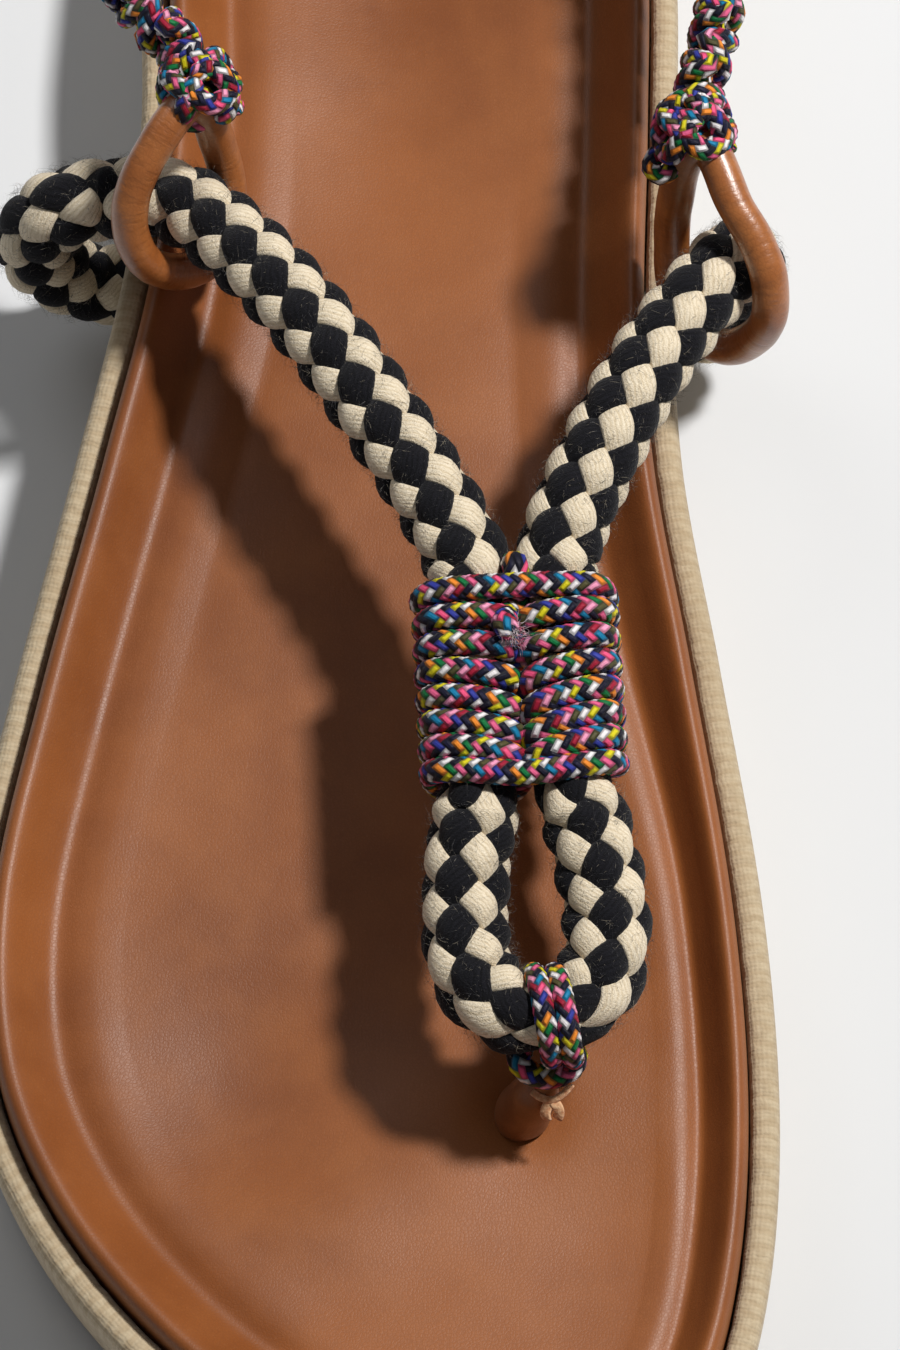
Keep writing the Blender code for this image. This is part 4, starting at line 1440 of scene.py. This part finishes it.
# Heel strap
# A band of square knots tied from the thin cord: two straight cords in the middle, one worked across the
# front and one across the back, linked at the edges. A lumpy knot ties each end to its leather loop.
# Columns: x, y, z
HEEL_STRAP = (
    (28.9, 50.5, 49.8),
    (28.9, 57.5, 51.2),
    (31.8, 70.0, 52.4),
    (34.2, 87.0, 54.6),
    (32.6, 107.0, 58.5),
    (23.5, 126.5, 62.6),
    (9.5, 135.6, 64.6),
    (-5.0, 138.0, 65.2),
    (-19.5, 135.6, 64.6),
    (-33.5, 126.5, 62.6),
    (-42.6, 107.0, 58.5),
    (-43.4, 89.0, 54.6),
    (-38.6, 74.0, 52.4),
    (-30.6, 64.0, 51.2),
    (-29.0, 57.0, 49.8),
)
KNOT_PITCH = 7.2
KEYS_PER_KNOT = 12
STRAP_CORD_RADIUS = 1.25
STRAP_STEP = 0.5
CORE_ASIDE = 1.2
WORKED_WIDTH = 3.3
LINK_WIDTH = 4.3
WORKED_DEPTH = 1.9
FRONT_TUCK = 0.5
BACK_HOOK = 0.9
END_KNOT_AT = 4.5
END_KNOT_KEYS = 97
KNOT_RADIUS = 3.3
KNOT_TURNS = 3.0
KNOT_LOOPS = 4.0
KNOT_WEAVE = 0.6
KNOT_HALF_LENGTH = 3.2
KNOT_CORD_RADIUS = 1.3
KNOT_CORE_REACH = 2.56
KNOT_CORE_KEYS = 4
KNOT_CORE_RADIUS = 2.3
KNOT_TAIL_RADIUS = 1.15
# Ends and bights of cord beside each knot, from its middle. Columns: x, y, z
MEDIAL_TAILS = (
    ((1.0, -1.0, -1.0), (3.4, -1.6, -0.6), (5.0, -2.2, -0.4)),
    ((-1.4, -0.6, -1.6), (-4.0, -1.4, -2.4), (-5.0, -3.2, -2.8), (-3.8, -4.4, -2.8), (-1.8, -3.2, -2.2)),
)
LATERAL_TAILS = (
    ((1.0, 0.0, -1.0), (3.6, -1.2, -1.2), (5.0, -2.6, -1.4)),
    ((-1.0, 0.0, -1.0), (-3.4, -0.8, -0.8), (-4.8, -1.6, -0.8)),
)


def strap_line():
    """The strap's line with the directions through its thickness and up its height."""
    line = smooth_line(HEEL_STRAP, STRAP_STEP)
    along = unit(np.gradient(line, axis=0))
    across = unit(np.cross(along, (0.0, 0.0, 1.0)))
    return line, along, across, np.cross(across, along)


STRAP_LINE, STRAP_ALONG, STRAP_ACROSS, STRAP_UP = strap_line()
STRAP_RUN = run_lengths(STRAP_LINE)
STRAP_LENGTH = STRAP_RUN[-1]


def on_strap(distance, up, out):
    """Points at a distance along the strap, moved up its height and out through its thickness."""
    middle, across, height = [
        at_places(distance, STRAP_RUN, rows) for rows in (STRAP_LINE, STRAP_ACROSS, STRAP_UP)]
    return middle + height * up[:, None] + across * out[:, None]


def strap_cords():
    """The cord worked across the front, the one across the back and the two straight ones."""
    knots = round((STRAP_LENGTH - 2.0 * END_KNOT_AT) / KNOT_PITCH)
    turns = np.linspace(0.0, 2.0 * knots, knots * KEYS_PER_KNOT + 1)
    distance = np.linspace(END_KNOT_AT, STRAP_LENGTH - END_KNOT_AT, len(turns))
    aside = np.cos(np.pi * turns)
    out = WORKED_DEPTH * np.abs(np.sin(np.pi * turns))
    front = on_strap(distance, -WORKED_WIDTH * aside, out - FRONT_TUCK * np.abs(aside))
    back = on_strap(distance, LINK_WIDTH * aside, BACK_HOOK * np.abs(aside) ** 3 - out)
    still = np.zeros_like(turns)
    cores = [on_strap(distance, still + side * CORE_ASIDE, still) for side in (-1.0, 1.0)]
    return [(line, STRAP_CORD_RADIUS) for line in (front, back, *cores)]


def end_knot(distance, tails):
    """A ball of one cord woven round the strap, with short ends of cord beside it."""
    at = np.searchsorted(STRAP_RUN, distance)
    middle, along = STRAP_LINE[at], STRAP_ALONG[at]
    angle = np.linspace(0.0, 2.0 * np.pi, END_KNOT_KEYS)
    reach = KNOT_HALF_LENGTH * np.sin(KNOT_LOOPS * angle)
    out = KNOT_RADIUS + KNOT_WEAVE * np.cos(2.0 * KNOT_LOOPS * angle)
    outward = turned(STRAP_UP[at], STRAP_ACROSS[at], KNOT_TURNS * angle)
    ball = middle + along * reach[:, None] + outward * out[:, None]
    core = middle + along * np.linspace(-KNOT_CORE_REACH, KNOT_CORE_REACH, KNOT_CORE_KEYS)[:, None]
    ends = [(middle + np.array(tail), KNOT_TAIL_RADIUS) for tail in tails]
    return [(ball, KNOT_CORD_RADIUS), (core, KNOT_CORE_RADIUS)] + ends


strap = cords_piece("heel_strap_cords", strap_cords() + end_knot(END_KNOT_AT, MEDIAL_TAILS)
                    + end_knot(STRAP_LENGTH - END_KNOT_AT, LATERAL_TAILS))
strap.data.materials.append(BRAID_FINISH)
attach(strap, "root")
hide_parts("heel_strap")

# Floor
# A plain pale sheet under the sandal, which isn't part of it.
FLOOR_SIZE = 6.0
bpy.ops.object.select_all(action="DESELECT")
bpy.ops.mesh.primitive_plane_add(size=FLOOR_SIZE)
floor = bpy.context.object
floor.name = "floor"
floor_finish, floor_shader, floor_place = new_finish("floor_paint", {"Specular IOR Level": 0.2})
floor_shade = mix(noise(floor_place, 0.4), colour(220, 222, 225), colour(224, 226, 229))
feed(floor_shader, {"Base Color": floor_shade, "Roughness": 0.8 + noise(floor_place, 0.1) * 0.1})
floor.data.materials.append(floor_finish)

# Light
# A key from the upper right of the picture, a broad weak fill from its upper left and an even pale surround.
SURROUND = 0.11
# Columns: name, direction towards it over the floor, elevation in degrees, distance, size, power, colour
LIGHTS = (
    ("key_light", (0.52, 0.22), 60.5, 1.0, 0.10, 10.5, (1.0, 0.98, 0.95)),
    ("fill_light", (-0.55, 0.60), 52.0, 1.0, 0.55, 1.1, (0.96, 0.98, 1.0)),
)
for name, towards, elevation, distance, size, power, tint in LIGHTS:
    rise = math.radians(elevation)
    turn = math.atan2(towards[1], towards[0])
    flat = distance * math.cos(rise)
    bpy.ops.object.light_add(
        type="AREA",
        location=(flat * math.cos(turn), flat * math.sin(turn), distance * math.sin(rise)),
        rotation=(math.pi / 2.0 - rise, 0.0, turn + math.pi / 2.0))
    light = bpy.context.object
    light.name = name
    light.data.size = size
    light.data.energy = power
    light.data.color = tint
world = bpy.data.worlds.new("surround")
world.use_nodes = True
world.node_tree.nodes["Background"].inputs["Color"].default_value = (1.0, 1.0, 1.0, 1.0)
world.node_tree.nodes["Background"].inputs["Strength"].default_value = SURROUND
bpy.context.scene.world = world
bpy.context.scene.view_settings.view_transform = "Standard"

# Camera
# It looks down on the sandal from the toe end, as far off and as steeply as the photograph does.
CAMERA_AIM = LAST_PLACE + (0.0, 0.0, 18.0)
CAMERA_DISTANCE = 650.0
CAMERA_ELEVATION = math.radians(65.0)
PHOTO_HEIGHT = 1350.0
FOCAL_PIXELS = 5460.0
SENSOR = 36.0
back = np.array((0.0, -math.cos(CAMERA_ELEVATION), math.sin(CAMERA_ELEVATION)))
bpy.ops.object.camera_add(location=(CAMERA_AIM + back * CAMERA_DISTANCE) * MM,
                          rotation=(math.pi / 2.0 - CAMERA_ELEVATION, 0.0, 0.0))
camera = bpy.context.object
camera.name = "camera"
camera.data.sensor_width = SENSOR
camera.data.lens = FOCAL_PIXELS / PHOTO_HEIGHT * SENSOR
bpy.context.scene.camera = camera
